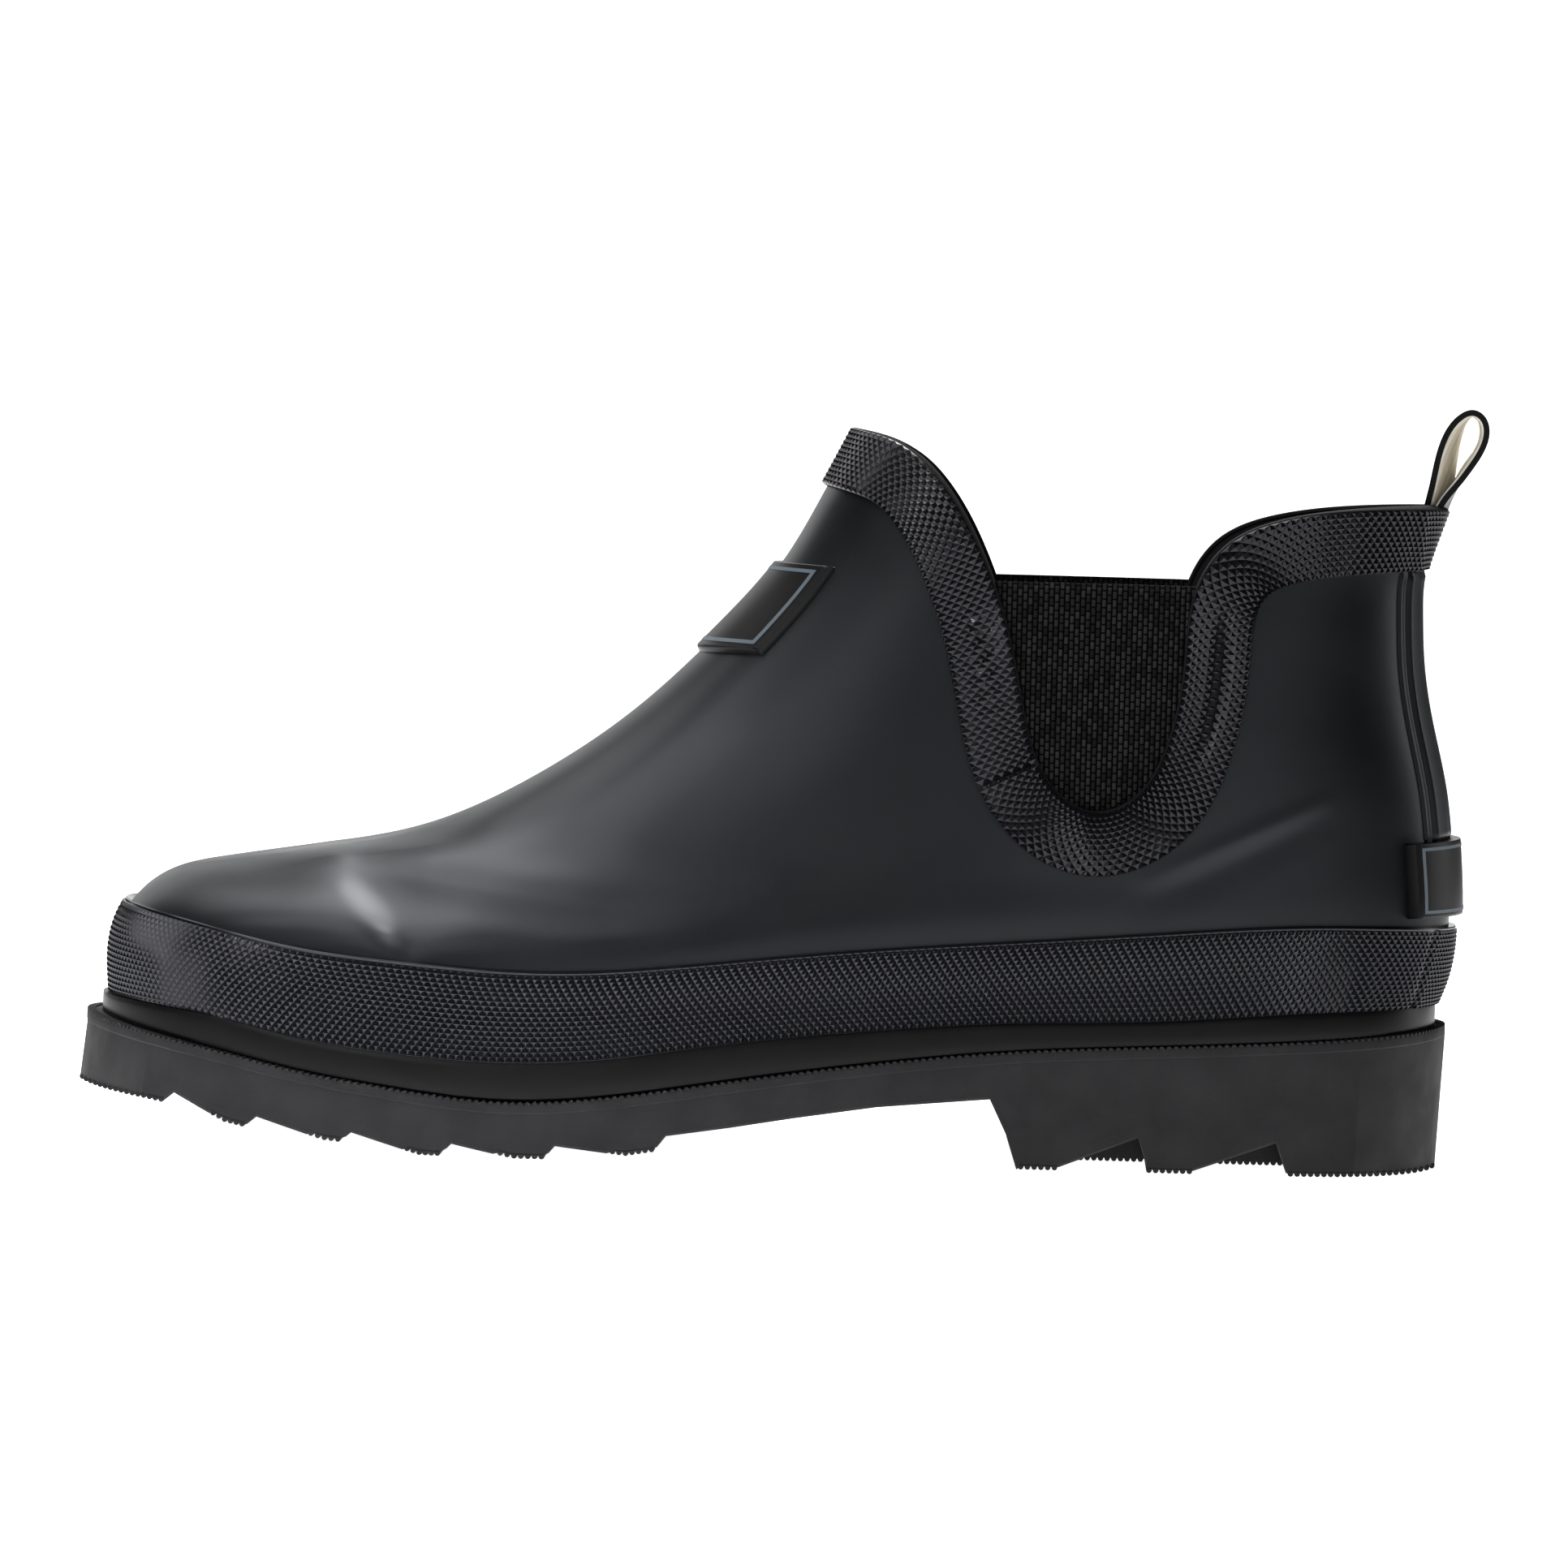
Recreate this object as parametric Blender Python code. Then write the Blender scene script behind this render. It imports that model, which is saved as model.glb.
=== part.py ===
"""Ankle-height rubber boot for the left foot, standing on its sole.

The tables are in millimetres and the meshes in metres. The toe points to -X,
the heel to +X, the outer side of the foot faces -Y, and +Z is up.
"""
import math
from collections import namedtuple

import bmesh
import bpy
import numpy as np

MM = 0.001
GAP = 0.3

# Wall, band and plate sizes
WALL = 2.0
BULGE = 1.2
BULGE_LEVEL = 0.18
FOXING_THICKNESS = 1.9
FOXING_EDGE = 1.5
FOXING_ROUND = 0.4
FOXING_SHOULDER = 0.08
BINDING_WIDTH = 13.0
BINDING_THICKNESS = 1.2
BINDING_SEAM_X = 51.7
GUSSET_RECESS = 0.4
GUSSET_THICKNESS = 1.4
GUSSET_TOP = 117.8
STRIP_THICKNESS = 1.1
STRIP_HALF_WIDTH = 16.0
STRIP_LEVELS = (0.335, 0.842)
PATCH_THICKNESS = 2.5
PATCH_HALF_WIDTH = 24.0
PATCH_LEVELS = (0.175, 0.325)
BADGE_THICKNESS = 1.1
BADGE_HALF_WIDTH = 21.0
BADGE_LEVELS = (0.725, 0.845)
LOOP_THICKNESS = 1.2
LOOP_HALF_WIDTH = 8.5
INSOLE_THICKNESS = 3.0
INSOLE_CLEARANCE = 3.0

# Plan of the sole pieces: end of the toe, end of the heel, margin outside the last
Plan = namedtuple("Plan", "toe heel toe_margin heel_margin")
LAST_PLAN = Plan(-136.4, 133.4, 0.0, 0.0)
MIDSOLE_PLAN = Plan(-138.8, 134.8, 1.7, 1.5)
LEDGE_PLAN = Plan(-142.9, 137.0, 4.6, 3.2)
TREAD_PLAN = Plan(-144.0, 135.8, 4.0, 2.2)
TOE_ROUND = 12.9
HEEL_ROUND = 16.5
PLAN_END = 0.06
LEDGE_RIM = 2.0
LEDGE_STEP = 0.8
MIDSOLE_BULGE = 0.7

# Sections of the upper, each a loop from the ridge in front to the heel line behind.
# Crown and round say how fast the loop opens from the ridge and from the heel.
Section = namedtuple("Section", "level ridge_x ridge_z heel_x heel_z crown round")
SECTIONS = (
    Section(0.000, -136.4, 26.8, 133.4, 33.9, 12.9, 16.5),
    Section(0.050, -137.0, 37.0, 135.4, 38.8, 12.6, 15.8),
    Section(0.100, -133.8, 46.1, 136.6, 44.0, 10.5, 15.2),
    Section(0.145, -126.8, 52.1, 137.0, 48.7, 6.9, 14.5),
    Section(0.200, -116.0, 55.3, 137.0, 54.4, 4.3, 13.8),
    Section(0.300, -95.0, 58.9, 136.3, 64.8, 3.4, 12.5),
    Section(0.420, -71.0, 64.5, 134.7, 77.2, 3.4, 11.3),
    Section(0.550, -45.5, 77.9, 131.5, 90.6, 3.4, 10.0),
    Section(0.680, -25.0, 94.0, 129.2, 104.0, 3.4, 8.8),
    Section(0.760, -12.9, 106.3, 128.7, 112.4, 3.5, 8.1),
    Section(0.840, -2.4, 118.7, 128.9, 120.6, 3.7, 7.5),
    Section(0.920, 5.4, 132.2, 131.2, 128.8, 3.9, 7.0),
    Section(1.000, 13.9, 149.0, 134.0, 137.2, 4.0, 6.6),
)

# Sections along the foot: heights of the feather edge, ledge and foxing,
# half widths at the sole and in the shaft, and the bend of the centre line
Foot = namedtuple("Foot", "x feather ledge foxing half shaft centre")
FOOT = (
    Foot(-138.0, 27.0, 22.4, 46.3, 37.0, 36.0, 6.0),
    Foot(-112.0, 25.4, 18.6, 42.7, 40.8, 39.0, 3.4),
    Foot(-95.0, 22.3, 15.5, 40.0, 43.2, 41.0, 1.8),
    Foot(-75.0, 19.9, 12.8, 38.4, 44.6, 42.0, -0.2),
    Foot(-55.0, 18.9, 11.0, 37.3, 44.6, 41.5, -1.8),
    Foot(-35.0, 19.9, 12.0, 37.6, 42.8, 40.0, -2.8),
    Foot(-10.0, 23.5, 15.7, 40.0, 39.2, 37.5, -3.2),
    Foot(20.0, 26.9, 20.1, 43.2, 35.4, 37.0, -3.0),
    Foot(50.0, 29.2, 23.4, 45.7, 33.6, 37.5, -2.0),
    Foot(80.0, 30.5, 25.2, 48.3, 33.3, 37.2, -0.8),
    Foot(110.0, 33.0, 27.0, 50.3, 33.3, 35.2, 0.0),
    Foot(138.0, 34.2, 29.0, 49.5, 33.0, 33.5, 0.0),
)

# Edge of the collar seen from the side, from the front peak round the U to the back
Edge = namedtuple("Edge", "x z")
COLLAR = (
    Edge(13.1, 147.0), Edge(22.5, 144.4), Edge(31.6, 136.3), Edge(38.8, 124.3),
    Edge(44.7, 109.0), Edge(48.7, 91.5), Edge(54.2, 77.6), Edge(62.7, 72.1),
    Edge(71.2, 75.0), Edge(77.7, 86.0), Edge(80.6, 102.0), Edge(82.5, 117.3),
    Edge(88.5, 126.4), Edge(99.9, 131.6), Edge(116.6, 134.0), Edge(133.2, 134.6),
)

# Saw-tooth bars of the forefoot: root of the ramp, start of the land, end of the land
Tooth = namedtuple("Tooth", "root_x root_z land_x land_z end_x end_z")
TEETH = (
    Tooth(-144.0, 9.0, -126.6, 7.8, -122.5, 7.4),
    Tooth(-120.2, 9.6, -109.0, 4.5, -105.1, 3.8),
    Tooth(-102.5, 6.0, -88.6, 2.1, -85.3, 1.9),
    Tooth(-83.0, 3.9, -69.0, 0.0, -65.1, 0.0),
    Tooth(-62.7, 2.5, -50.3, 0.0, -44.3, 0.0),
    Tooth(-42.0, 2.7, -28.0, 1.1, -22.5, 2.0),
)
WAIST = (Edge(-20.0, 5.2), Edge(-7.4, 7.1), Edge(5.6, 9.3), Edge(21.7, 11.8), Edge(44.3, 13.9))
BREAST = (Edge(47.7, 7.0), Edge(50.0, 0.0))

# Edge notches of the heel: start of the ramp, top of the ramp, foot of the step
Notch = namedtuple("Notch", "start top height foot")
NOTCHES = (Notch(58.5, 74.3, 6.3, 76.3), Notch(85.5, 102.0, 6.0, 104.1))
NOTCH_DEPTH = 22.0
NOTCH_CORE = 0.3

# Pull loop seen from the side, from inside the collar to the rim behind
LOOP = (
    Edge(125.2, 124.5), Edge(126.8, 130.5), Edge(128.4, 136.0), Edge(130.2, 142.0), Edge(132.4, 149.5),
    Edge(137.2, 154.2), Edge(140.6, 151.4), Edge(139.0, 145.0), Edge(135.6, 139.2), Edge(133.3, 135.5),
)

# Size of the cutter above the collar edge
CUTTER_REACH = 30.0
CUTTER_TOP = 190.0
CUTTER_HALF_WIDTH = 60.0

# Middle of the boot's box in the frame of the tables, which becomes the origin
MIDDLE_X = -1.18
MIDDLE_Y = -0.79

# Mesh density
LOOP_COLUMNS = 60
FOXING_COLUMNS = 60
SOLE_STATIONS = 30
FRONT_STATIONS = 46
BACK_STATIONS = 74
COLLAR_STATIONS = 72
EDGE_SAMPLES = 500
GUSSET_ROWS = 9
GUSSET_COLUMNS = 7
PLATE_COLUMNS = 9
LOOP_STATIONS = 26
LEAST_SPACING = 1.5
SHARP_ANGLE = math.radians(35)
BISECTIONS = 40
NEWTON_STEPS = 12
SHELL_ROWS = (
    0.0, 0.035, 0.07, 0.1, 0.125, 0.155, 0.2, 0.27, 0.36,
    0.46, 0.56, 0.65, 0.725, 0.78, 0.835, 0.885, 0.94, 1.0)


def natural_spline(knots, values):
    """Smooth function through the values at the knots."""
    knots = np.asarray(knots, float)
    values = np.asarray(values, float)
    step = np.diff(knots)
    count = len(knots)
    matrix = np.eye(count)
    right = np.zeros((count,) + values.shape[1:])
    for i in range(1, count - 1):
        matrix[i, i - 1:i + 2] = step[i - 1], 2 * (step[i - 1] + step[i]), step[i]
        right[i] = 6 * ((values[i + 1] - values[i]) / step[i] - (values[i] - values[i - 1]) / step[i - 1])
    bend = np.linalg.solve(matrix, right)

    def evaluate(at):
        at = np.asarray(at, float)
        i = np.clip(np.searchsorted(knots, at, side="right") - 1, 0, count - 2)
        spread = (slice(None),) * at.ndim + (None,) * (values.ndim - 1)
        h = step[i][spread]
        a = (knots[i + 1] - at)[spread] / h
        b = (at - knots[i])[spread] / h
        curve = ((a ** 3 - a) * bend[i] + (b ** 3 - b) * bend[i + 1]) * h ** 2 / 6
        return a * values[i] + b * values[i + 1] + curve

    return evaluate


def path_through(rows):
    """Smooth path through the rows, as a function of the share of its length."""
    points = np.array(rows, float)
    length = np.concatenate([[0.0], np.cumsum(np.linalg.norm(np.diff(points, axis=0), axis=1))])
    return natural_spline(length / length[-1], points)


def column(rows, key, name):
    """One column of a table as a smooth function of another."""
    return natural_spline([getattr(row, key) for row in rows], [getattr(row, name) for row in rows])


ridge_x, ridge_z, heel_x, heel_z, crown, heel_round = (
    column(SECTIONS, "level", name)
    for name in ("ridge_x", "ridge_z", "heel_x", "heel_z", "crown", "round"))
feather, ledge, foxing_top, sole_half, shaft_half, centre_line = (
    column(FOOT, "x", name) for name in ("feather", "ledge", "foxing", "half", "shaft", "centre"))
collar_edge = path_through(COLLAR)


def share_of(theta):
    """Share of the way from the ridge to the heel at an angle round the loop."""
    return (1 - np.cos(theta)) / 2


def side_view(share, level):
    """Place in the side view, from the shares along the loop and up the shell."""
    x = (1 - share) * ridge_x(level) + share * heel_x(level)
    foot_x = (1 - share) * LAST_PLAN.toe + share * LAST_PLAN.heel
    straight = (1 - share) * feather(LAST_PLAN.toe) + share * feather(LAST_PLAN.heel)
    z = (1 - share) * ridge_z(level) + share * heel_z(level) + (1 - level) * (feather(foot_x) - straight)
    return x, z


def skin_point(theta, level):
    """Point on the outside of the upper; the outer side of the foot has negative angles."""
    share = share_of(theta)
    x, z = side_view(share, level)
    rise = np.clip(level, 0, 1)
    rise = rise * rise * (3 - 2 * rise)
    bulge = BULGE * level / BULGE_LEVEL * np.exp(1 - level / BULGE_LEVEL)
    width = sole_half(x) + (shaft_half(x) - sole_half(x)) * rise + bulge
    from_ridge = np.tanh(np.maximum(crown(level) * share, 0))
    from_heel = np.tanh(np.maximum(heel_round(level) * (1 - share), 0))
    side = np.sign(np.sin(theta))
    y = centre_line(x) * (1 - rise) + side * width * np.sqrt(from_ridge * from_heel)
    return np.stack([x, y, z], axis=-1)


def tangents(theta, level):
    """Directions round the loop and up the shell."""
    step = 1e-3
    around = (skin_point(theta + step, level) - skin_point(theta - step, level)) / (2 * step)
    upward = (skin_point(theta, level + step) - skin_point(theta, level - step)) / (2 * step)
    return around, upward


def unit(vectors):
    return vectors / np.linalg.norm(vectors, axis=-1, keepdims=True)


def skin(theta, level, lift):
    """Point at a distance outside the upper, or inside it where the lift is negative."""
    theta, level, lift = np.broadcast_arrays(theta, level, lift)
    around, upward = tangents(theta, level)
    return skin_point(theta, level) + lift[..., None] * unit(np.cross(upward, around))


def locate(x, z):
    """Angle and level of places given in the side view."""
    bottom, top = SECTIONS[0].ridge_z, SECTIONS[-1].ridge_z
    level = np.clip((z - bottom) / (top - bottom), 0, 1)
    share = np.clip((x - ridge_x(level)) / (heel_x(level) - ridge_x(level)), 0, 1)
    step = 1e-4
    for _ in range(NEWTON_STEPS):
        x0, z0 = side_view(share, level)
        x1, z1 = side_view(share + step, level)
        x2, z2 = side_view(share, level + step)
        xs, zs = (x1 - x0) / step, (z1 - z0) / step
        xl, zl = (x2 - x0) / step, (z2 - z0) / step
        scale = xs * zl - xl * zs
        share = np.clip(share + ((x - x0) * zl - (z - z0) * xl) / scale, 0, 1)
        level = np.clip(level + ((z - z0) * xs - (x - x0) * zs) / scale, 0, 1)
    return np.arccos(1 - 2 * share), level


def level_at(theta, height):
    """Level at which each column reaches a height that depends on x."""
    low, high = np.zeros_like(theta), np.ones_like(theta)
    for _ in range(BISECTIONS):
        middle = (low + high) / 2
        x, z = side_view(share_of(theta), middle)
        above = z > height(x)
        high = np.where(above, middle, high)
        low = np.where(above, low, middle)
    return (low + high) / 2


def angle_at(half_width, level, start, end):
    """Angle between start and end at which the shell is a given half width from its centre."""
    low, high = np.full_like(level, start), np.full_like(level, end)
    middle_line = skin_point(low, level)[..., 1]
    for _ in range(BISECTIONS):
        middle = (low + high) / 2
        wide = np.abs(skin_point(middle, level)[..., 1] - middle_line) > half_width
        high = np.where(wide, middle, high)
        low = np.where(wide, low, middle)
    return (low + high) / 2


def collar_path():
    """Collar edge round the whole boot, from the front over the inner side to the heel and back.

    Gives the angle, level, place in the side view, length so far and direction at each point.
    """
    edge = collar_edge(np.linspace(0, 1, EDGE_SAMPLES))
    theta, level = locate(edge[:, 0], edge[:, 1])
    theta[0], theta[-1] = 0.0, math.pi
    theta = np.concatenate([theta, 2 * math.pi - theta[-2::-1]])
    level = np.concatenate([level, level[-2::-1]])
    side_x = np.concatenate([edge[:, 0], edge[-2::-1, 0]])
    points = skin_point(theta, level)
    length = np.concatenate([[0.0], np.cumsum(np.linalg.norm(np.diff(points, axis=0), axis=1))])
    ahead = np.concatenate([points[1:], points[1:2]])
    behind = np.concatenate([points[-2:-1], points[:-1]])
    return theta, level, side_x, length, unit(ahead - behind)


def walk(theta, level, direction, distance, steps):
    """Angles and levels reached by walking over the skin in a direction, one row for each step."""
    theta, level = theta.copy(), level.copy()
    rows = [(theta.copy(), level.copy())]
    for _ in range(steps):
        around, upward = tangents(theta, level)
        normal = unit(np.cross(upward, around))
        flat = unit(direction - np.sum(direction * normal, axis=-1, keepdims=True) * normal)
        aa, uu = np.sum(around * around, axis=-1), np.sum(upward * upward, axis=-1)
        au = np.sum(around * upward, axis=-1)
        fa, fu = np.sum(flat * around, axis=-1), np.sum(flat * upward, axis=-1)
        scale = aa * uu - au * au
        theta = theta + (fa * uu - fu * au) / scale * distance / steps
        level = level + (fu * aa - fa * au) / scale * distance / steps
        rows.append((theta.copy(), level.copy()))
    return rows


def material(name, colour, roughness):
    """Principled material in the part's own colour."""
    result = bpy.data.materials.new(name)
    result.use_nodes = True
    shader = result.node_tree.nodes["Principled BSDF"]
    shader.inputs["Base Color"].default_value = (*colour, 1.0)
    shader.inputs["Roughness"].default_value = roughness
    shader.inputs["Metallic"].default_value = 0.0
    return result


def loft(name, sections, closed, finish):
    """Solid through closed sections; an open row of sections is capped at both ends."""
    sections = (np.asarray(sections) - (MIDDLE_X, MIDDLE_Y, 0.0)) * MM
    count, size = sections.shape[:2]
    mesh = bmesh.new()
    verts = [[mesh.verts.new(point) for point in section] for section in sections]
    for i in range(count if closed else count - 1):
        here, there = verts[i], verts[(i + 1) % count]
        for j in range(size):
            k = (j + 1) % size
            mesh.faces.new((here[j], here[k], there[k], there[j]))
    if not closed:
        mesh.faces.new(verts[0])
        mesh.faces.new(verts[-1])
    bmesh.ops.remove_doubles(mesh, verts=mesh.verts, dist=1e-6)
    bmesh.ops.recalc_face_normals(mesh, faces=mesh.faces)
    data = bpy.data.meshes.new(name)
    mesh.to_mesh(data)
    mesh.free()
    data.shade_smooth()
    data.set_sharp_from_angle(angle=SHARP_ANGLE)
    data.materials.append(finish)
    solid = bpy.data.objects.new(name, data)
    bpy.context.scene.collection.objects.link(solid)
    return solid


def loop_angles(columns):
    """Angles of a full loop round the boot, closer together at the toe and heel."""
    return np.linspace(-math.pi, math.pi, columns, endpoint=False)


def make_upper(rubber):
    """Hollow shell, cut off above the collar edge and through the two U-shaped windows."""
    theta = loop_angles(LOOP_COLUMNS)[:, None]
    level = np.array(SHELL_ROWS)[None, :]
    outside = skin(theta, level, 0.0)
    inside = skin(theta, level, -WALL)
    upper = loft("upper", np.concatenate([outside, inside[:, ::-1]], axis=1), True, rubber)

    edge = collar_edge(np.linspace(0, 1, COLLAR_STATIONS))
    front_x, back_x = edge[0, 0] - CUTTER_REACH, edge[-1, 0] + CUTTER_REACH
    outline = np.concatenate([
        [(front_x, CUTTER_TOP), (front_x, edge[0, 1])], edge,
        [(back_x, edge[-1, 1]), (back_x, CUTTER_TOP)]])
    ends = [np.insert(outline, 1, y, axis=1) for y in (-CUTTER_HALF_WIDTH, CUTTER_HALF_WIDTH)]
    cutter = loft("collar_cutter", ends, False, rubber)
    cutter.hide_render = True
    cutter.display_type = "WIRE"
    cut = upper.modifiers.new("collar cut", "BOOLEAN")
    cut.operation = "DIFFERENCE"
    cut.solver = "EXACT"
    cut.object = cutter
    return upper


def make_foxing(rubber):
    """Band round the foot over the joint of the upper and the midsole."""
    theta = loop_angles(FOXING_COLUMNS)
    top = level_at(theta, foxing_top)
    outer, edge = GAP + FOXING_THICKNESS, GAP + FOXING_EDGE
    profile = (
        (0.0, GAP), (0.0, outer - FOXING_ROUND), (FOXING_SHOULDER, outer), (0.5, outer),
        (1 - FOXING_SHOULDER, edge), (1.0, edge - FOXING_ROUND), (1.0, GAP),
        (0.75, GAP), (0.5, GAP), (0.25, GAP))
    sections = np.stack([skin(theta, top * share, lift) for share, lift in profile], axis=1)
    sections[..., 2] = np.maximum(sections[..., 2], feather(sections[..., 0]))
    return loft("foxing", sections, True, rubber)


def make_binding(name, start, end, stations, rubber):
    """Tape along the collar edge between two lengths along it."""
    theta, level, _, length, direction = collar_path()
    whole = length[-1]
    at = np.linspace(start + GAP / 2, end - GAP / 2, stations) % whole
    along = np.stack([np.interp(at, length, direction[:, axis]) for axis in range(3)], axis=-1)
    theta, level = np.interp(at, length, theta), np.interp(at, length, level)
    around, upward = tangents(theta, level)
    across = np.cross(unit(np.cross(upward, around)), along)
    rows = walk(theta, level, across, BINDING_WIDTH, 4)[::2]
    inner = [skin(t, v, GAP) for t, v in rows]
    outer = [skin(t, v, GAP + BINDING_THICKNESS) for t, v in rows]
    return loft(name, np.stack(inner + outer[::-1], axis=1), False, rubber)


def make_bindings(rubber):
    """Front and back tapes, end to end at a seam on the front edge of each U."""
    _, _, side_x, length, _ = collar_path()
    seam = length[np.argmax(side_x > BINDING_SEAM_X)]
    whole = length[-1]
    make_binding("front_binding", whole - seam, whole + seam, FRONT_STATIONS, rubber)
    make_binding("back_binding", seam, whole - seam, BACK_STATIONS, rubber)


def make_gusset(name, side, elastic):
    """Elastic panel that fills a U-shaped window just below the face of the wall."""
    points = collar_edge(np.linspace(0, 1, EDGE_SAMPLES))
    in_window = (points[:, 0] > COLLAR[3].x) & (points[:, 0] < COLLAR[12].x)
    window = points[in_window]
    lowest = np.argmin(window[:, 1])
    bottom = window[lowest, 1] + 2 * GAP
    front, back = window[:lowest + 1][::-1], window[lowest:]
    heights = bottom + (GUSSET_TOP - bottom) * np.linspace(0, 1, GUSSET_ROWS) ** 2
    left = np.interp(heights, front[:, 1], front[:, 0]) + 1.5 * GAP
    right = np.interp(heights, back[:, 1], back[:, 0]) - 1.5 * GAP
    share = np.linspace(0, 1, GUSSET_COLUMNS)[None, :]
    x = left[:, None] * (1 - share) + right[:, None] * share
    z = np.broadcast_to(heights[:, None], x.shape)
    theta, level = locate(x, z)
    face = skin(side * theta, level, -GUSSET_RECESS)
    back_face = skin(side * theta, level, -GUSSET_RECESS - GUSSET_THICKNESS)
    return loft(name, np.concatenate([face, back_face[:, ::-1]], axis=1), False, elastic)


def make_plate(name, levels, half_width, thickness, middle, rows, finish):
    """Thin plate wrapped over the ridge (middle 0) or over the heel line (middle pi)."""
    level = np.linspace(levels[0], levels[1], rows)
    edge = angle_at(half_width, level, middle, math.pi / 2)
    share = np.linspace(-1, 1, PLATE_COLUMNS)[None, :]
    theta = middle + (edge - middle)[:, None] * share
    level = np.broadcast_to(level[:, None], theta.shape)
    below = skin(theta, level, GAP)
    above = skin(theta, level, GAP + thickness)
    return loft(name, np.concatenate([above, below[:, ::-1]], axis=1), False, finish)


def plan_width(x, plan):
    """Half width of a sole piece at a place along its plan."""
    share = np.clip((x - plan.toe) / (plan.heel - plan.toe), 0, 1)
    margin = (1 - share) * plan.toe_margin + share * plan.heel_margin
    opening = np.tanh(TOE_ROUND * share) * np.tanh(HEEL_ROUND * (1 - share))
    return (sole_half(x) + margin) * np.sqrt(opening)


def plan_stations(count):
    """Shares along a plan, closer together at the toe and heel."""
    return share_of(np.linspace(PLAN_END, math.pi - PLAN_END, count))


def slab(name, plan, low, high, bulge, finish):
    """Slab between two heights that follow the foot, with a slightly rounded side."""
    share = plan_stations(SOLE_STATIONS)
    x = plan.toe + share * (plan.heel - plan.toe)
    middle, width = centre_line(x), plan_width(x, plan)
    low, high = low(x), high(x)
    half_way = (low + high) / 2
    ring = ((-1, width, high), (-1, width + bulge, half_way), (-1, width, low),
            (1, width, low), (1, width + bulge, half_way), (1, width, high))
    rows = [np.stack([x, middle + side * out, z], axis=-1) for side, out, z in ring]
    return loft(name, np.stack(rows, axis=1), False, finish)


def tread_profile():
    """Corners of the tread along the edge of the sole, and along the middle of it."""
    edge = []
    for tooth in TEETH:
        edge += [(tooth.root_x, tooth.root_z), (tooth.land_x, tooth.land_z), (tooth.end_x, tooth.end_z)]
    edge += list(WAIST) + list(BREAST)
    middle = edge + [(TREAD_PLAN.heel, 0.0)]
    for notch in NOTCHES:
        edge += [(notch.start, 0.0), (notch.top, notch.height), (notch.foot, 0.0)]
    edge.append((TREAD_PLAN.heel, 0.0))
    return np.array(edge), np.array(middle)


def make_outsole(rubber):
    """Outsole with its ledge, saw-tooth bars, waist and notched heel."""
    edge, middle = tread_profile()
    reach = TREAD_PLAN.heel - TREAD_PLAN.toe
    corners = (edge[1:-1, 0] - TREAD_PLAN.toe) / reach
    even = plan_stations(SOLE_STATIONS)
    clear = np.abs(even[:, None] - corners[None, :]).min(axis=1) > LEAST_SPACING / reach
    share = np.sort(np.concatenate([even[clear], corners]))
    tread_x = TREAD_PLAN.toe + share * reach
    ledge_x = LEDGE_PLAN.toe + share * (LEDGE_PLAN.heel - LEDGE_PLAN.toe)
    tread_y, ledge_y = centre_line(tread_x), centre_line(ledge_x)
    tread_width, ledge_width = plan_width(tread_x, TREAD_PLAN), plan_width(ledge_x, LEDGE_PLAN)
    notch_width = np.maximum(tread_width - NOTCH_DEPTH, tread_width * NOTCH_CORE)
    top = ledge(ledge_x)
    low = np.interp(tread_x, edge[:, 0], edge[:, 1])
    core = np.interp(tread_x, middle[:, 0], middle[:, 1])
    half = (
        (ledge_x, ledge_y, ledge_width, top),
        (ledge_x, ledge_y, ledge_width, top - LEDGE_RIM),
        (tread_x, tread_y, tread_width, top - LEDGE_RIM - LEDGE_STEP),
        (tread_x, tread_y, tread_width, low),
        (tread_x, tread_y, notch_width, low),
        (tread_x, tread_y, notch_width, core))
    outer = [np.stack([x, y - width, z], axis=-1) for x, y, width, z in half]
    inner = [np.stack([x, y + width, z], axis=-1) for x, y, width, z in half]
    return loft("outsole", np.stack(outer + inner[::-1], axis=1), False, rubber)


def make_pull_loop(webbing):
    """Strap that stands up from inside the collar and comes down on the rim behind."""
    path = path_through(LOOP)(np.linspace(0, 1, LOOP_STATIONS))
    along = unit(np.gradient(path, axis=0))
    side = np.stack([-along[:, 1], along[:, 0]], axis=-1) * LOOP_THICKNESS / 2
    corners = ((-1, -1), (1, -1), (1, 1), (-1, 1))
    rings = []
    for across, out in corners:
        place = path + out * side
        rings.append(np.insert(place, 1, across * LOOP_HALF_WIDTH, axis=1))
    return loft("pull_loop", np.stack(rings, axis=1), False, webbing)


def clear_scene():
    for item in list(bpy.data.objects):
        bpy.data.objects.remove(item)


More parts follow.
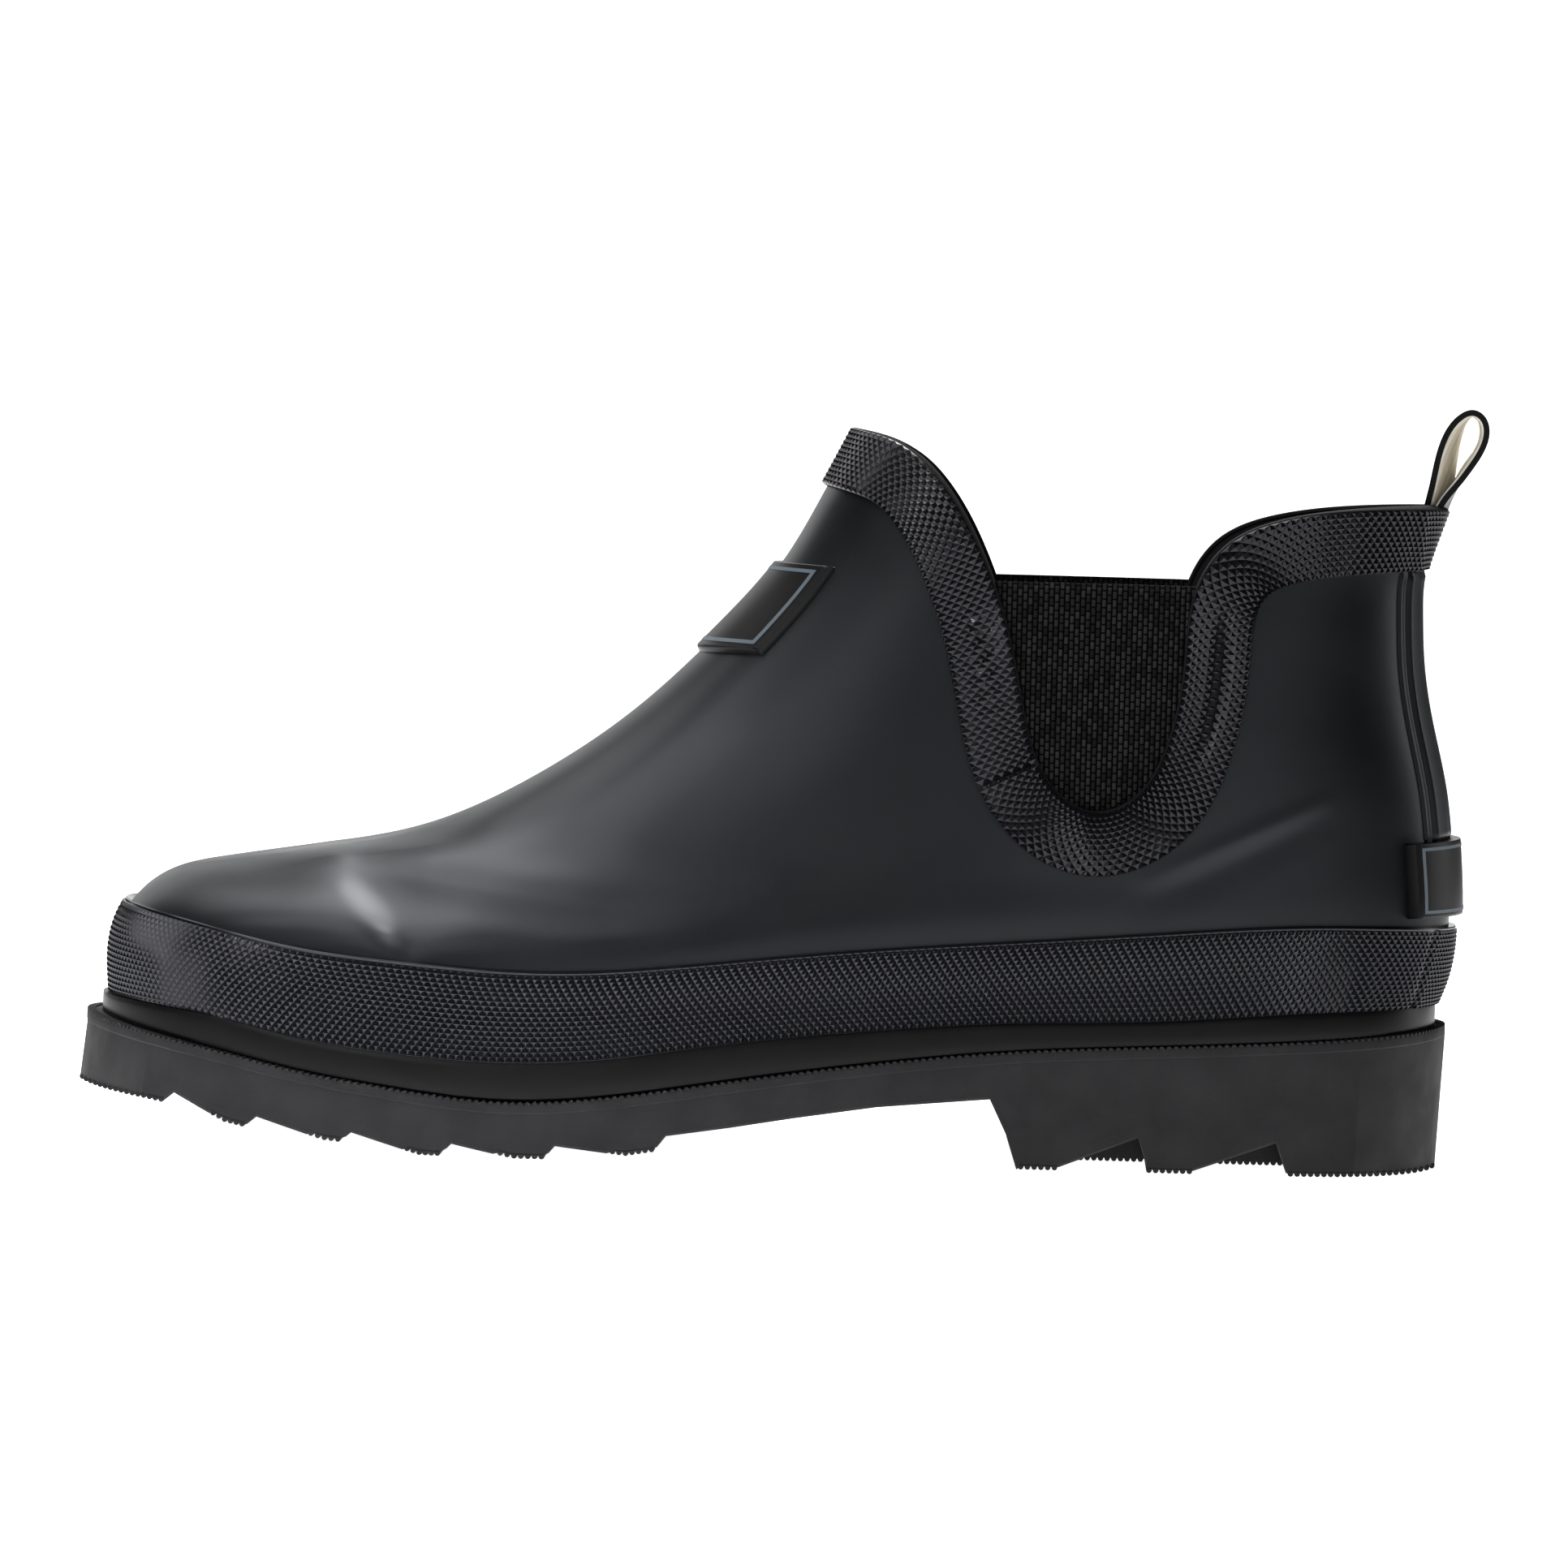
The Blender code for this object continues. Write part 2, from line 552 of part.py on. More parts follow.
def main():
    clear_scene()
    upper_rubber = material("satin black rubber", (0.022, 0.024, 0.027), 0.38)
    band_rubber = material("knurled black rubber", (0.020, 0.021, 0.023), 0.45)
    sole_rubber = material("matt grey-black sole rubber", (0.030, 0.030, 0.032), 0.65)
    smooth_rubber = material("smooth black rubber", (0.020, 0.021, 0.023), 0.35)
    elastic = material("black woven elastic", (0.012, 0.012, 0.013), 0.85)
    footbed = material("dark felt footbed", (0.05, 0.05, 0.05), 0.95)
    webbing = material("rubber and cotton strap", (0.03, 0.03, 0.03), 0.7)

    make_outsole(sole_rubber)
    slab("midsole", MIDSOLE_PLAN, lambda x: ledge(x) + GAP, lambda x: feather(x) - GAP,
         MIDSOLE_BULGE, smooth_rubber)
    insole_plan = Plan(
        LAST_PLAN.toe + INSOLE_CLEARANCE, LAST_PLAN.heel - INSOLE_CLEARANCE,
        -INSOLE_CLEARANCE, -INSOLE_CLEARANCE)
    slab("insole", insole_plan, feather, lambda x: feather(x) + INSOLE_THICKNESS, 0.0, footbed)
    make_upper(upper_rubber)
    make_foxing(band_rubber)
    make_bindings(band_rubber)
    make_gusset("gusset_lateral", -1, elastic)
    make_gusset("gusset_medial", 1, elastic)
    make_plate("back_strip", STRIP_LEVELS, STRIP_HALF_WIDTH, STRIP_THICKNESS, math.pi, 10, smooth_rubber)
    make_plate("heel_patch", PATCH_LEVELS, PATCH_HALF_WIDTH, PATCH_THICKNESS, math.pi, 4, smooth_rubber)
    make_plate("instep_badge", BADGE_LEVELS, BADGE_HALF_WIDTH, BADGE_THICKNESS, 0.0, 4, smooth_rubber)
    make_pull_loop(webbing)


main()
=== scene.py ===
"""Looks of a low rubber boot for the left foot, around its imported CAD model.

The tables repeat the sizes of the CAD part in millimetres. The toe points to -X, the heel
to +X, the outer side of the foot faces -Y, and +Z is up.
"""

import math
from collections import namedtuple

import bmesh
import bpy
import numpy as np
from mathutils import Matrix, Vector


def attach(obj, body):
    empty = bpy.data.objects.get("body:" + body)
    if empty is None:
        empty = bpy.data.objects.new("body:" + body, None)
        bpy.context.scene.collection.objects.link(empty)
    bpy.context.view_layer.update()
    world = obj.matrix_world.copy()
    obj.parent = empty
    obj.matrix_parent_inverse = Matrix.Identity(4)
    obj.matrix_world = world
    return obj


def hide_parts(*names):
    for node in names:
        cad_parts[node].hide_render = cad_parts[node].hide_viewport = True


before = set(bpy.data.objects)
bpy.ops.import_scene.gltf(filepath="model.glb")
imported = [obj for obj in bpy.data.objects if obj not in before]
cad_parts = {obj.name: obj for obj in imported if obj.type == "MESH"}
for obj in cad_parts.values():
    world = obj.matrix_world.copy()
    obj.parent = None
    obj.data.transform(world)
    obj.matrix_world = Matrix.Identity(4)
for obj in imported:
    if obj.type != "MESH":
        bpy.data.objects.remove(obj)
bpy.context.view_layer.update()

MM = 0.001
# Place of the CAD part's own origin in these tables
MIDDLE = np.array([-1.18, -0.79, 0.0])

# Wall, band, panel and strap sizes
WALL = 2.0
BULGE = 1.2
BULGE_LEVEL = 0.18
FOXING_BOTTOM_LIFT = 2.2
FOXING_TOP_LIFT = 1.8
TAPE_WIDTH = 13.0
TAPE_LIFT = 1.5
TAPE_SEAM_X = 51.7
TAPE_LENGTH_LINE = 8.0
GUSSET_RECESS = 0.4
GUSSET_THICKNESS = 1.4
GUSSET_TOP = 117.8
GUSSET_HEM = 1.2
GUSSET_MIDDLE = 66.0
HEEL_LAP_X = 127.0
FOXING_LAP_X = 131.5
LOOP_HALF_WIDTH = 8.5
LOOP_RUBBER = 1.2
LOOP_COTTON = 0.3
LOOP_OUT = 0.62
INSOLE_THICKNESS = 3.0
INSOLE_CLEARANCE = 3.0

# Plates over the ridge (middle 0) or the heel line (middle pi), and the shares of their printed borders
Plate = namedtuple("Plate", "low high half_width middle")
Border = namedtuple("Border", "inset_u inset_v line_u line_v")
STRIP = Plate(0.315, 0.86, 18.4, math.pi)
PATCH = Plate(0.175, 0.325, 24.0, math.pi)
PATCH_LIFT = 2.8
PATCH_REACH = 24.0
PATCH_BORDER = Border(0.07, 0.14, 0.032, 0.085)
BADGE = Plate(0.725, 0.845, 21.0, 0.0)
BADGE_LIFT = 1.4
BADGE_REACH = 16.0
BADGE_BORDER = Border(0.1, 0.16, 0.035, 0.075)
INK_HEIGHT = 0.1

# Knurl: a blunt pyramid on each diamond, at a pitch along the foxing and along the tapes
KNURL_ALONG = 1.64
KNURL_ROWS = 19
TAPE_KNURL_ALONG = 1.85
TAPE_CELLS = 12
KNURL_HEIGHT = 0.42
KNURL_TIP = 0.12

# Folds of the tapes: middle and half of their height, place and width across, and lift
TapeFold = namedtuple("TapeFold", "z reach across width lift")
TAPE_GROOVE = TapeFold(98.0, 13.0, 6.6, 1.3, -1.0)
TAPE_RIPPLES = TapeFold(102.0, 11.0, 6.5, 2.2, 0.22)
RIPPLE_PITCH = 3.6
RIPPLE_SLANT = 7.0

# Elastic: ribs across the width, and dashes of the weave up each rib
RIBS = 40
RIB_PITCH = 1.05
RIB_HEIGHT = 0.2
DASH_PITCH = 1.7
DASH_HEIGHT = 0.16
HEM_ROLL = 0.35

# Outsole: beads on the ledge and bars on the tread
BEAD_PITCH = 1.45
BEAD_SIZE = (0.95, 1.7, 0.4)
BEAD_INSET = 0.9
BAR_PITCH = 1.35
BAR_HEIGHT = 0.65
BAR_SHARE = 0.87
BAR_MARGIN = 0.7
CORNER_STEP = 0.15

# Plans of the sole pieces: ends along the foot, and margins outside the last
Plan = namedtuple("Plan", "toe heel toe_margin heel_margin")
LAST_PLAN = Plan(-136.4, 133.4, 0.0, 0.0)
MIDSOLE_PLAN = Plan(-139.6, 134.8, 1.7, 1.5)
LEDGE_PLAN = Plan(-142.9, 137.0, 4.6, 3.2)
TREAD_PLAN = Plan(-144.0, 135.8, 4.0, 2.2)
TOE_ROUND = 12.9
HEEL_ROUND = 16.5
LEDGE_RIM = 2.0
LEDGE_STEP = 0.8
MIDSOLE_BULGE = 0.7

# Sections of the upper, each a loop from the ridge in front to the heel line behind
Section = namedtuple("Section", "level ridge_x ridge_z heel_x heel_z crown round")
SECTIONS = tuple(Section(*row) for row in (
    (0.000, -136.4, 26.8, 133.4, 33.9, 12.9, 16.5),
    (0.050, -137.0, 37.0, 135.4, 38.8, 12.6, 15.8),
    (0.100, -133.8, 46.1, 136.6, 44.0, 10.5, 15.2),
    (0.145, -126.8, 52.1, 137.0, 48.7, 6.9, 14.5),
    (0.200, -116.0, 55.3, 137.0, 54.4, 4.3, 13.8),
    (0.300, -95.0, 58.9, 136.3, 64.8, 3.4, 12.5),
    (0.420, -71.0, 64.5, 134.7, 77.2, 3.4, 11.3),
    (0.550, -45.5, 77.9, 131.5, 90.6, 3.4, 10.0),
    (0.680, -25.0, 94.0, 129.2, 104.0, 3.4, 8.8),
    (0.760, -12.9, 106.3, 128.7, 112.4, 3.5, 8.1),
    (0.840, -2.4, 118.7, 128.9, 120.6, 3.7, 7.5),
    (0.920, 5.4, 132.2, 131.2, 128.8, 3.9, 7.0),
    (1.000, 13.9, 149.0, 134.0, 137.2, 4.0, 6.6),
))

# Sections along the foot
Foot = namedtuple("Foot", "x feather ledge foxing half shaft centre")
FOOT = tuple(Foot(*row) for row in (
    (-138.0, 27.0, 22.4, 46.3, 37.0, 36.0, 6.0),
    (-112.0, 25.4, 18.6, 42.7, 40.8, 39.0, 3.4),
    (-95.0, 22.3, 15.5, 40.0, 43.2, 41.0, 1.8),
    (-75.0, 19.9, 12.8, 38.4, 44.6, 42.0, -0.2),
    (-55.0, 18.9, 11.0, 37.3, 44.6, 41.5, -1.8),
    (-35.0, 19.9, 12.0, 37.6, 42.8, 40.0, -2.8),
    (-10.0, 23.5, 15.7, 40.0, 39.2, 37.5, -3.2),
    (20.0, 26.9, 20.1, 43.2, 35.4, 37.0, -3.0),
    (50.0, 29.2, 23.4, 45.7, 33.6, 37.5, -2.0),
    (80.0, 30.5, 25.2, 48.3, 33.3, 37.2, -0.8),
    (110.0, 33.0, 27.0, 50.3, 33.3, 35.2, 0.0),
    (138.0, 34.2, 29.0, 49.5, 33.0, 33.5, 0.0),
))

# Edge of the collar seen from the side, from the front peak round the U to the back
Edge = namedtuple("Edge", "x z")
COLLAR = tuple(Edge(*row) for row in (
    (13.1, 147.0), (22.5, 144.4), (31.6, 136.3), (38.8, 124.3),
    (44.7, 109.0), (48.7, 91.5), (54.2, 77.6), (62.7, 72.1),
    (71.2, 75.0), (77.7, 86.0), (80.6, 102.0), (82.5, 117.3),
    (88.5, 126.4), (99.9, 131.6), (116.6, 134.0), (133.2, 134.6),
))

# Corners of the tread: saw-tooth bars of the forefoot, the waist, and the heel with its notches
Tooth = namedtuple("Tooth", "root_x root_z land_x land_z end_x end_z")
TEETH = tuple(Tooth(*row) for row in (
    (-144.0, 9.0, -126.6, 7.8, -122.5, 7.4),
    (-120.2, 9.6, -109.0, 4.5, -105.1, 3.8),
    (-102.5, 6.0, -88.6, 2.1, -85.3, 1.9),
    (-83.0, 3.9, -69.0, 0.0, -65.1, 0.0),
    (-62.7, 2.5, -50.3, 0.0, -44.3, 0.0),
    (-42.0, 2.7, -28.0, 1.1, -22.5, 2.0),
))
WAIST = (Edge(-20.0, 5.2), Edge(-7.4, 7.1), Edge(5.6, 9.3), Edge(21.7, 11.8), Edge(44.3, 13.9))
BREAST = (Edge(47.7, 7.0), Edge(50.0, 0.0))
Notch = namedtuple("Notch", "start top height foot")
NOTCHES = (Notch(58.5, 74.3, 6.3, 76.3), Notch(85.5, 102.0, 6.0, 104.1))
NOTCH_DEPTH = 22.0
NOTCH_CORE = 0.3

# Pull loop seen from the side: its near edge, and its far edge where the legs press together
LOOP_NEAR = tuple(Edge(*row) for row in (
    (127.2, 124.5), (128.3, 130.0), (129.4, 135.5), (130.2, 139.2), (131.0, 143.6),
    (132.1, 147.9), (133.7, 151.2), (135.8, 153.4), (137.9, 154.2), (139.7, 153.4),
    (140.7, 151.6), (140.8, 149.5), (140.0, 146.8), (137.9, 143.2), (135.4, 139.7),
    (132.9, 136.5), (131.2, 133.4),
))
LOOP_FAR = tuple(Edge(*row) for row in (
    (131.0, 124.5), (132.2, 130.0), (133.5, 135.0), (134.6, 139.0), (135.2, 143.5),
    (135.7, 147.5), (136.4, 150.8), (137.3, 153.0), (138.8, 154.2), (140.4, 153.4),
    (141.2, 151.4), (141.2, 149.3), (140.2, 146.4), (138.2, 143.4), (136.6, 140.4),
    (135.0, 137.0), (133.6, 133.4),
))

# Soft folds of the upper: line in the side view, side of the foot, height and width of the swell
Crease = namedtuple("Crease", "x0 z0 x1 z1 side height width")
CREASES = (
    Crease(75.0, 58.5, 109.0, 75.0, -1, 0.27, 1.9),
    Crease(74.0, 54.0, 108.0, 71.0, -1, -0.22, 3.5),
    Crease(76.0, 59.0, 101.0, 72.0, 1, 0.4, 2.4),
)

# Steps of the upper, high on the toe side of the line: half height, width at both ends, reach to each side
Step = namedtuple("Step", "x0 z0 x1 z1 side height wide narrow reach")
STEPS = (
    Step(-90.0, 57.5, -72.5, 38.5, -1, 1.25, 4.8, 1.9, 14.0),
    Step(-90.0, 57.5, -72.5, 38.5, 1, 1.0, 4.8, 2.2, 14.0),
)
STEP_ANGLE = 0.75
FOLD_START_Y = 10.0
FOLD_RISE_Y = 14.0

# Rounding of the vamp above its shoulder: lift along the foot, and the level it is highest at
VAMP_X = (-134.0, -118.0, -95.0, -70.0, -45.0, -15.0, 40.0)
VAMP_LIFT = (0.0, 0.8, 1.6, 2.0, 1.4, 0.9, 0.0)
VAMP_LEVEL = 0.25

# Soft boxes, in metres and watts; the two narrow ones light only the fold at the toe
Box = namedtuple("Box", "name place aim width height power spread", defaults=(180,))
BOOT = (0.0, 0.0, 0.05)
TOE_FOLD = (-0.078, -0.042, 0.044)
BOXES = (
    Box("back box", (0.0, 0.86, 1.28), BOOT, 0.5, 0.5, 7.0),
    Box("streak box", (0.0, 0.51, 1.46), BOOT, 0.5, 0.5, 3.8),
    Box("crown box", (0.26, 0.0, 1.53), TOE_FOLD, 0.12, 0.12, 0.03, 8),
    Box("fold box", (0.36, -0.78, 1.28), TOE_FOLD, 0.12, 0.12, 0.03, 8),
    Box("top box", (-0.36, 0.21, 1.49), BOOT, 0.75, 0.75, 5.9),
    Box("toe box", (-0.72, 0.48, 1.26), BOOT, 0.75, 0.75, 3.2),
    Box("side box", (-0.745, -0.43, 1.28), BOOT, 0.75, 0.75, 5.6),
    Box("front box", (-0.63, -1.09, 0.86), BOOT, 0.75, 0.75, 3.1),
    Box("fill box", (0.0, -1.9, 0.7), BOOT, 0.75, 0.75, 1.5),
    Box("low box", (-1.25, -0.72, 0.44), BOOT, 0.75, 0.75, 0.5),
    Box("rim box", (-0.72, 1.2, 0.5), BOOT, 0.75, 0.75, 2.0),
    Box("heel box", (1.05, 0.55, 0.35), (0.12, 0.0, 0.09), 0.35, 0.7, 1.1),
)

SHARP_ANGLE = math.radians(35)
COPY_SHARP_ANGLE = math.radians(50)
BISECTIONS = 40
NEWTON_STEPS = 12


def natural_spline(knots, values):
    """Smooth function through the values at the knots."""
    knots = np.asarray(knots, float)
    values = np.asarray(values, float)
    step = np.diff(knots)
    count = len(knots)
    matrix = np.eye(count)
    right = np.zeros((count,) + values.shape[1:])
    for i in range(1, count - 1):
        matrix[i, i - 1:i + 2] = step[i - 1], 2 * (step[i - 1] + step[i]), step[i]
        right[i] = 6 * ((values[i + 1] - values[i]) / step[i] - (values[i] - values[i - 1]) / step[i - 1])
    bend = np.linalg.solve(matrix, right)

    def evaluate(at):
        at = np.asarray(at, float)
        i = np.clip(np.searchsorted(knots, at, side="right") - 1, 0, count - 2)
        spread = (slice(None),) * at.ndim + (None,) * (values.ndim - 1)
        h = step[i][spread]
        a = (knots[i + 1] - at)[spread] / h
        b = (at - knots[i])[spread] / h
        curve = ((a ** 3 - a) * bend[i] + (b ** 3 - b) * bend[i + 1]) * h ** 2 / 6
        return a * values[i] + b * values[i + 1] + curve

    return evaluate


def lengths(points):
    """Length along a row of points, from its start to each of them."""
    return np.concatenate([[0.0], np.cumsum(np.linalg.norm(np.diff(points, axis=0), axis=1))])


def between(at, length, points, period=None):
    """Places at given lengths along a line of points."""
    return np.stack([np.interp(at, length, points[:, axis], period=period) for axis in range(3)], axis=-1)


def xyz(x, y, z):
    """Points from their three coordinates."""
    return np.stack(np.broadcast_arrays(x, y, z), axis=-1)


def dot(a, b):
    return np.sum(a * b, axis=-1)


def height_on(line, x):
    """Height of a line of corners in the side view."""
    return np.interp(x, line[:, 0], line[:, 1])


def swell(offset, width, power=2):
    """Share of a height that is one in the middle and dies away to both sides."""
    return np.exp(-(offset / width) ** power)


def soft_step(offset, width):
    """Share of a height that rises from none to one over a short width."""
    return 1 / (1 + np.exp(-offset / width))


def path_through(rows):
    """Smooth path through the rows, as a function of the share of its length."""
    points = np.array(rows, float)
    length = lengths(points)
    return natural_spline(length / length[-1], points)


def column(rows, key, name):
    """One column of a table as a smooth function of another."""
    return natural_spline([getattr(row, key) for row in rows], [getattr(row, name) for row in rows])


ridge_x, ridge_z, heel_x, heel_z, crown, heel_round = (
    column(SECTIONS, "level", name)
    for name in ("ridge_x", "ridge_z", "heel_x", "heel_z", "crown", "round"))
feather, ledge, foxing_top, sole_half, shaft_half, centre_line = (
    column(FOOT, "x", name) for name in ("feather", "ledge", "foxing", "half", "shaft", "centre"))
collar_edge = path_through(COLLAR)


def share_of(theta):
    """Share of the way from the ridge to the heel at an angle round the loop."""
    return (1 - np.cos(theta)) / 2


def side_view(share, level):
    """Place in the side view, from the shares along the loop and up the shell."""
    x = (1 - share) * ridge_x(level) + share * heel_x(level)
    foot_x = (1 - share) * LAST_PLAN.toe + share * LAST_PLAN.heel
    straight = (1 - share) * feather(LAST_PLAN.toe) + share * feather(LAST_PLAN.heel)
    z = (1 - share) * ridge_z(level) + share * heel_z(level) + (1 - level) * (feather(foot_x) - straight)
    return x, z


def skin_point(theta, level):
    """Point on the outside of the upper; the outer side of the foot has negative angles."""
    share = share_of(theta)
    x, z = side_view(share, level)
    rise = np.clip(level, 0, 1)
    rise = rise * rise * (3 - 2 * rise)
    bulge = BULGE * level / BULGE_LEVEL * np.exp(1 - level / BULGE_LEVEL)
    width = sole_half(x) + (shaft_half(x) - sole_half(x)) * rise + bulge
    from_ridge = np.tanh(np.maximum(crown(level) * share, 0))
    from_heel = np.tanh(np.maximum(heel_round(level) * (1 - share), 0))
    side = np.sign(np.sin(theta))
    y = centre_line(x) * (1 - rise) + side * width * np.sqrt(from_ridge * from_heel)
    return xyz(x, y, z)


def tangents(theta, level):
    """Directions round the loop and up the shell."""
    step = 1e-3
    around = (skin_point(theta + step, level) - skin_point(theta - step, level)) / (2 * step)
    upward = (skin_point(theta, level + step) - skin_point(theta, level - step)) / (2 * step)
    return around, upward


def unit(vectors):
    return vectors / np.linalg.norm(vectors, axis=-1, keepdims=True)


def normal_at(theta, level):
    """Outward direction of the skin."""
    around, upward = tangents(theta, level)
    return unit(np.cross(upward, around))


def skin(theta, level, lift):
    """Point at a distance outside the upper, or inside it where the lift is negative."""
    theta, level, lift = np.broadcast_arrays(theta, level, lift)
    return skin_point(theta, level) + lift[..., None] * normal_at(theta, level)


def locate(x, z):
    """Angle and level of places given in the side view."""
    bottom, top = SECTIONS[0].ridge_z, SECTIONS[-1].ridge_z
    level = np.clip((z - bottom) / (top - bottom), 0, 1)
    share = np.clip((x - ridge_x(level)) / (heel_x(level) - ridge_x(level)), 0, 1)
    step = 1e-4
    for _ in range(NEWTON_STEPS):
        x0, z0 = side_view(share, level)
        x1, z1 = side_view(share + step, level)
        x2, z2 = side_view(share, level + step)
        xs, zs = (x1 - x0) / step, (z1 - z0) / step
        xl, zl = (x2 - x0) / step, (z2 - z0) / step
        scale = xs * zl - xl * zs
        share = np.clip(share + ((x - x0) * zl - (z - z0) * xl) / scale, 0, 1)
        level = np.clip(level + ((z - z0) * xs - (x - x0) * zs) / scale, 0, 1)
    return np.arccos(1 - 2 * share), level


def bisect(low, high, past):
    """Places between two limits at which a test begins to hold."""
    for _ in range(BISECTIONS):
        middle = (low + high) / 2
        beyond = past(middle)
        high = np.where(beyond, middle, high)
        low = np.where(beyond, low, middle)
    return (low + high) / 2


def level_at(theta, height):
    """Level at which each column reaches a height that depends on x."""
    def past(level):
        x, z = side_view(share_of(theta), level)
        return z > height(x)
    return bisect(np.zeros_like(theta), np.ones_like(theta), past)


def angle_at(half_width, level, start, end):
    """Angle between start and end at which the shell is a given half width from its centre."""
    first, last = np.full_like(level, start), np.full_like(level, end)
    centre = skin_point(first, level)[..., 1]
    return bisect(first, last, lambda angle: np.abs(skin_point(angle, level)[..., 1] - centre) > half_width)


def collar_path():
    """Collar edge round the whole boot: angle, level, side view x, length so far and direction."""
    edge = collar_edge(np.linspace(0, 1, 900))
    theta, level = locate(edge[:, 0], edge[:, 1])
    theta[0], theta[-1] = 0.0, math.pi
    theta = np.concatenate([theta, 2 * math.pi - theta[-2::-1]])
    level = np.concatenate([level, level[-2::-1]])
    side_x = np.concatenate([edge[:, 0], edge[-2::-1, 0]])
    points = skin_point(theta, level)
    ahead = np.concatenate([points[1:], points[1:2]])
    behind = np.concatenate([points[-2:-1], points[:-1]])
    return theta, level, side_x, lengths(points), unit(ahead - behind)


def walk(theta, level, direction, distance, steps):
    """Angles and levels reached by walking over the skin in a direction, one row for each step."""
    rows = [(theta, level)]
    for _ in range(steps):
        around, upward = tangents(theta, level)
        normal = unit(np.cross(upward, around))
        flat = unit(direction - dot(direction, normal)[..., None] * normal)
        aa, uu, au = dot(around, around), dot(upward, upward), dot(around, upward)
        fa, fu = dot(flat, around), dot(flat, upward)
        scale = aa * uu - au * au
        theta = theta + (fa * uu - fu * au) / scale * distance / steps
        level = level + (fu * aa - fa * au) / scale * distance / steps
        rows.append((theta, level))
    return rows


# Meshes

def grid_faces(rows, columns, wrap_rows=False, wrap_columns=False):
    """Quads of a grid of points, as rows of four point numbers."""
    i = np.arange(rows if wrap_rows else rows - 1)[:, None]
    j = np.arange(columns if wrap_columns else columns - 1)[None, :]
    below, right = (i + 1) % rows, (j + 1) % columns
    quads = np.stack(np.broadcast_arrays(
        i * columns + j, i * columns + right, below * columns + right, below * columns + j), axis=-1)
    return quads.reshape(-1, 4)


def show(name, data):
    """Object in the scene with the given data."""
    item = bpy.data.objects.new(name, data)
    bpy.context.scene.collection.objects.link(item)
    return item


def shade(mesh, angle=SHARP_ANGLE):
    """Smooth shading that keeps edges past an angle sharp."""
    mesh.shade_smooth()
    mesh.set_sharp_from_angle(angle=angle)


def bake(item):
    """Keeps what a piece's modifier makes as its plain mesh."""
    graph = bpy.context.evaluated_depsgraph_get()
    mesh = bpy.data.meshes.new_from_object(item.evaluated_get(graph), depsgraph=graph)
    item.modifiers.clear()
    item.data = mesh
    return item


def piece(name, points, faces, materials, smooth=True, indices=None, recalculate=True):
    """Object with its place in its mesh, from points in millimetres."""
    mesh = bpy.data.meshes.new(name)
    mesh.from_pydata(((np.reshape(points, (-1, 3)) - MIDDLE) * MM).tolist(), [], [list(f) for f in faces])
    for item in materials:
        mesh.materials.append(item)
    if indices is not None:
        mesh.polygons.foreach_set("material_index", np.asarray(indices, np.int32))
    work = bmesh.new()
    work.from_mesh(mesh)
    bmesh.ops.remove_doubles(work, verts=work.verts, dist=1e-6)
    bmesh.ops.delete(work, geom=[v for v in work.verts if not v.link_faces], context="VERTS")
    if recalculate:
        bmesh.ops.recalc_face_normals(work, faces=work.faces)
    work.to_mesh(mesh)
    work.free()
    if smooth:
        shade(mesh)
    return show(name, mesh)


def loft(name, sections, materials, closed=False, **options):
    """Solid through closed sections; an open row of sections is capped at both ends."""
    sections = np.asarray(sections)
    count, size = sections.shape[:2]
    faces = grid_faces(count, size, closed, True).tolist()
    if not closed:
        faces += [list(range(size)), list(range((count - 1) * size, count * size))]
    return piece(name, sections, faces, materials, **options)


def dress(item, slot, *nodes):
    """Fixes a finished piece to the boot's one body and hides the solids it stands for; the slot is not
    used.
    """
    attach(item, "root")
    if nodes:
        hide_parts(*nodes)
    return item


def join(target, *others):
    """Adds the meshes of other pieces to one piece."""
    work = bmesh.new()
    names = [m.name for m in target.data.materials]
    work.from_mesh(target.data)
    for other in others:
        first = len(work.faces)
        work.from_mesh(other.data)
        work.faces.ensure_lookup_table()
        for face in work.faces[first:]:
            material = other.data.materials[face.material_index]
            if material.name not in names:
                names.append(material.name)
                target.data.materials.append(material)
            face.material_index = names.index(material.name)
    work.to_mesh(target.data)
    work.free()
    for other in others:
        bpy.data.objects.remove(other)
    return target


# Node trees

def add(tree, kind, inputs=None, **settings):
    """Adds a node with its settings, values and links."""
    result = tree.nodes.new(kind)
    for name, value in settings.items():
        setattr(result, name, value)
    for name, value in (inputs or {}).items():
        if isinstance(value, bpy.types.NodeSocket):
            tree.links.new(value, result.inputs[name])
        else:
            result.inputs[name].default_value = value
    return result


def new_tree(name, inputs):
    """Geometry tree with named inputs after its geometry."""
    tree = bpy.data.node_groups.new(name, "GeometryNodeTree")
    tree.interface.new_socket("Geometry", in_out="INPUT", socket_type="NodeSocketGeometry")
    for label, kind in inputs:
        tree.interface.new_socket(label, in_out="INPUT", socket_type=kind)
    tree.interface.new_socket("Geometry", in_out="OUTPUT", socket_type="NodeSocketGeometry")
    return tree, add(tree, "NodeGroupInput")


def close_tree(tree, geometry, material):
    """Ends a tree in real geometry of one material."""
    real = add(tree, "GeometryNodeRealizeInstances", {"Geometry": geometry})
    painted = add(tree, "GeometryNodeSetMaterial", {
        "Geometry": real.outputs["Geometry"], "Material": material})
    add(tree, "NodeGroupOutput", {"Geometry": painted.outputs["Geometry"]})
    return tree


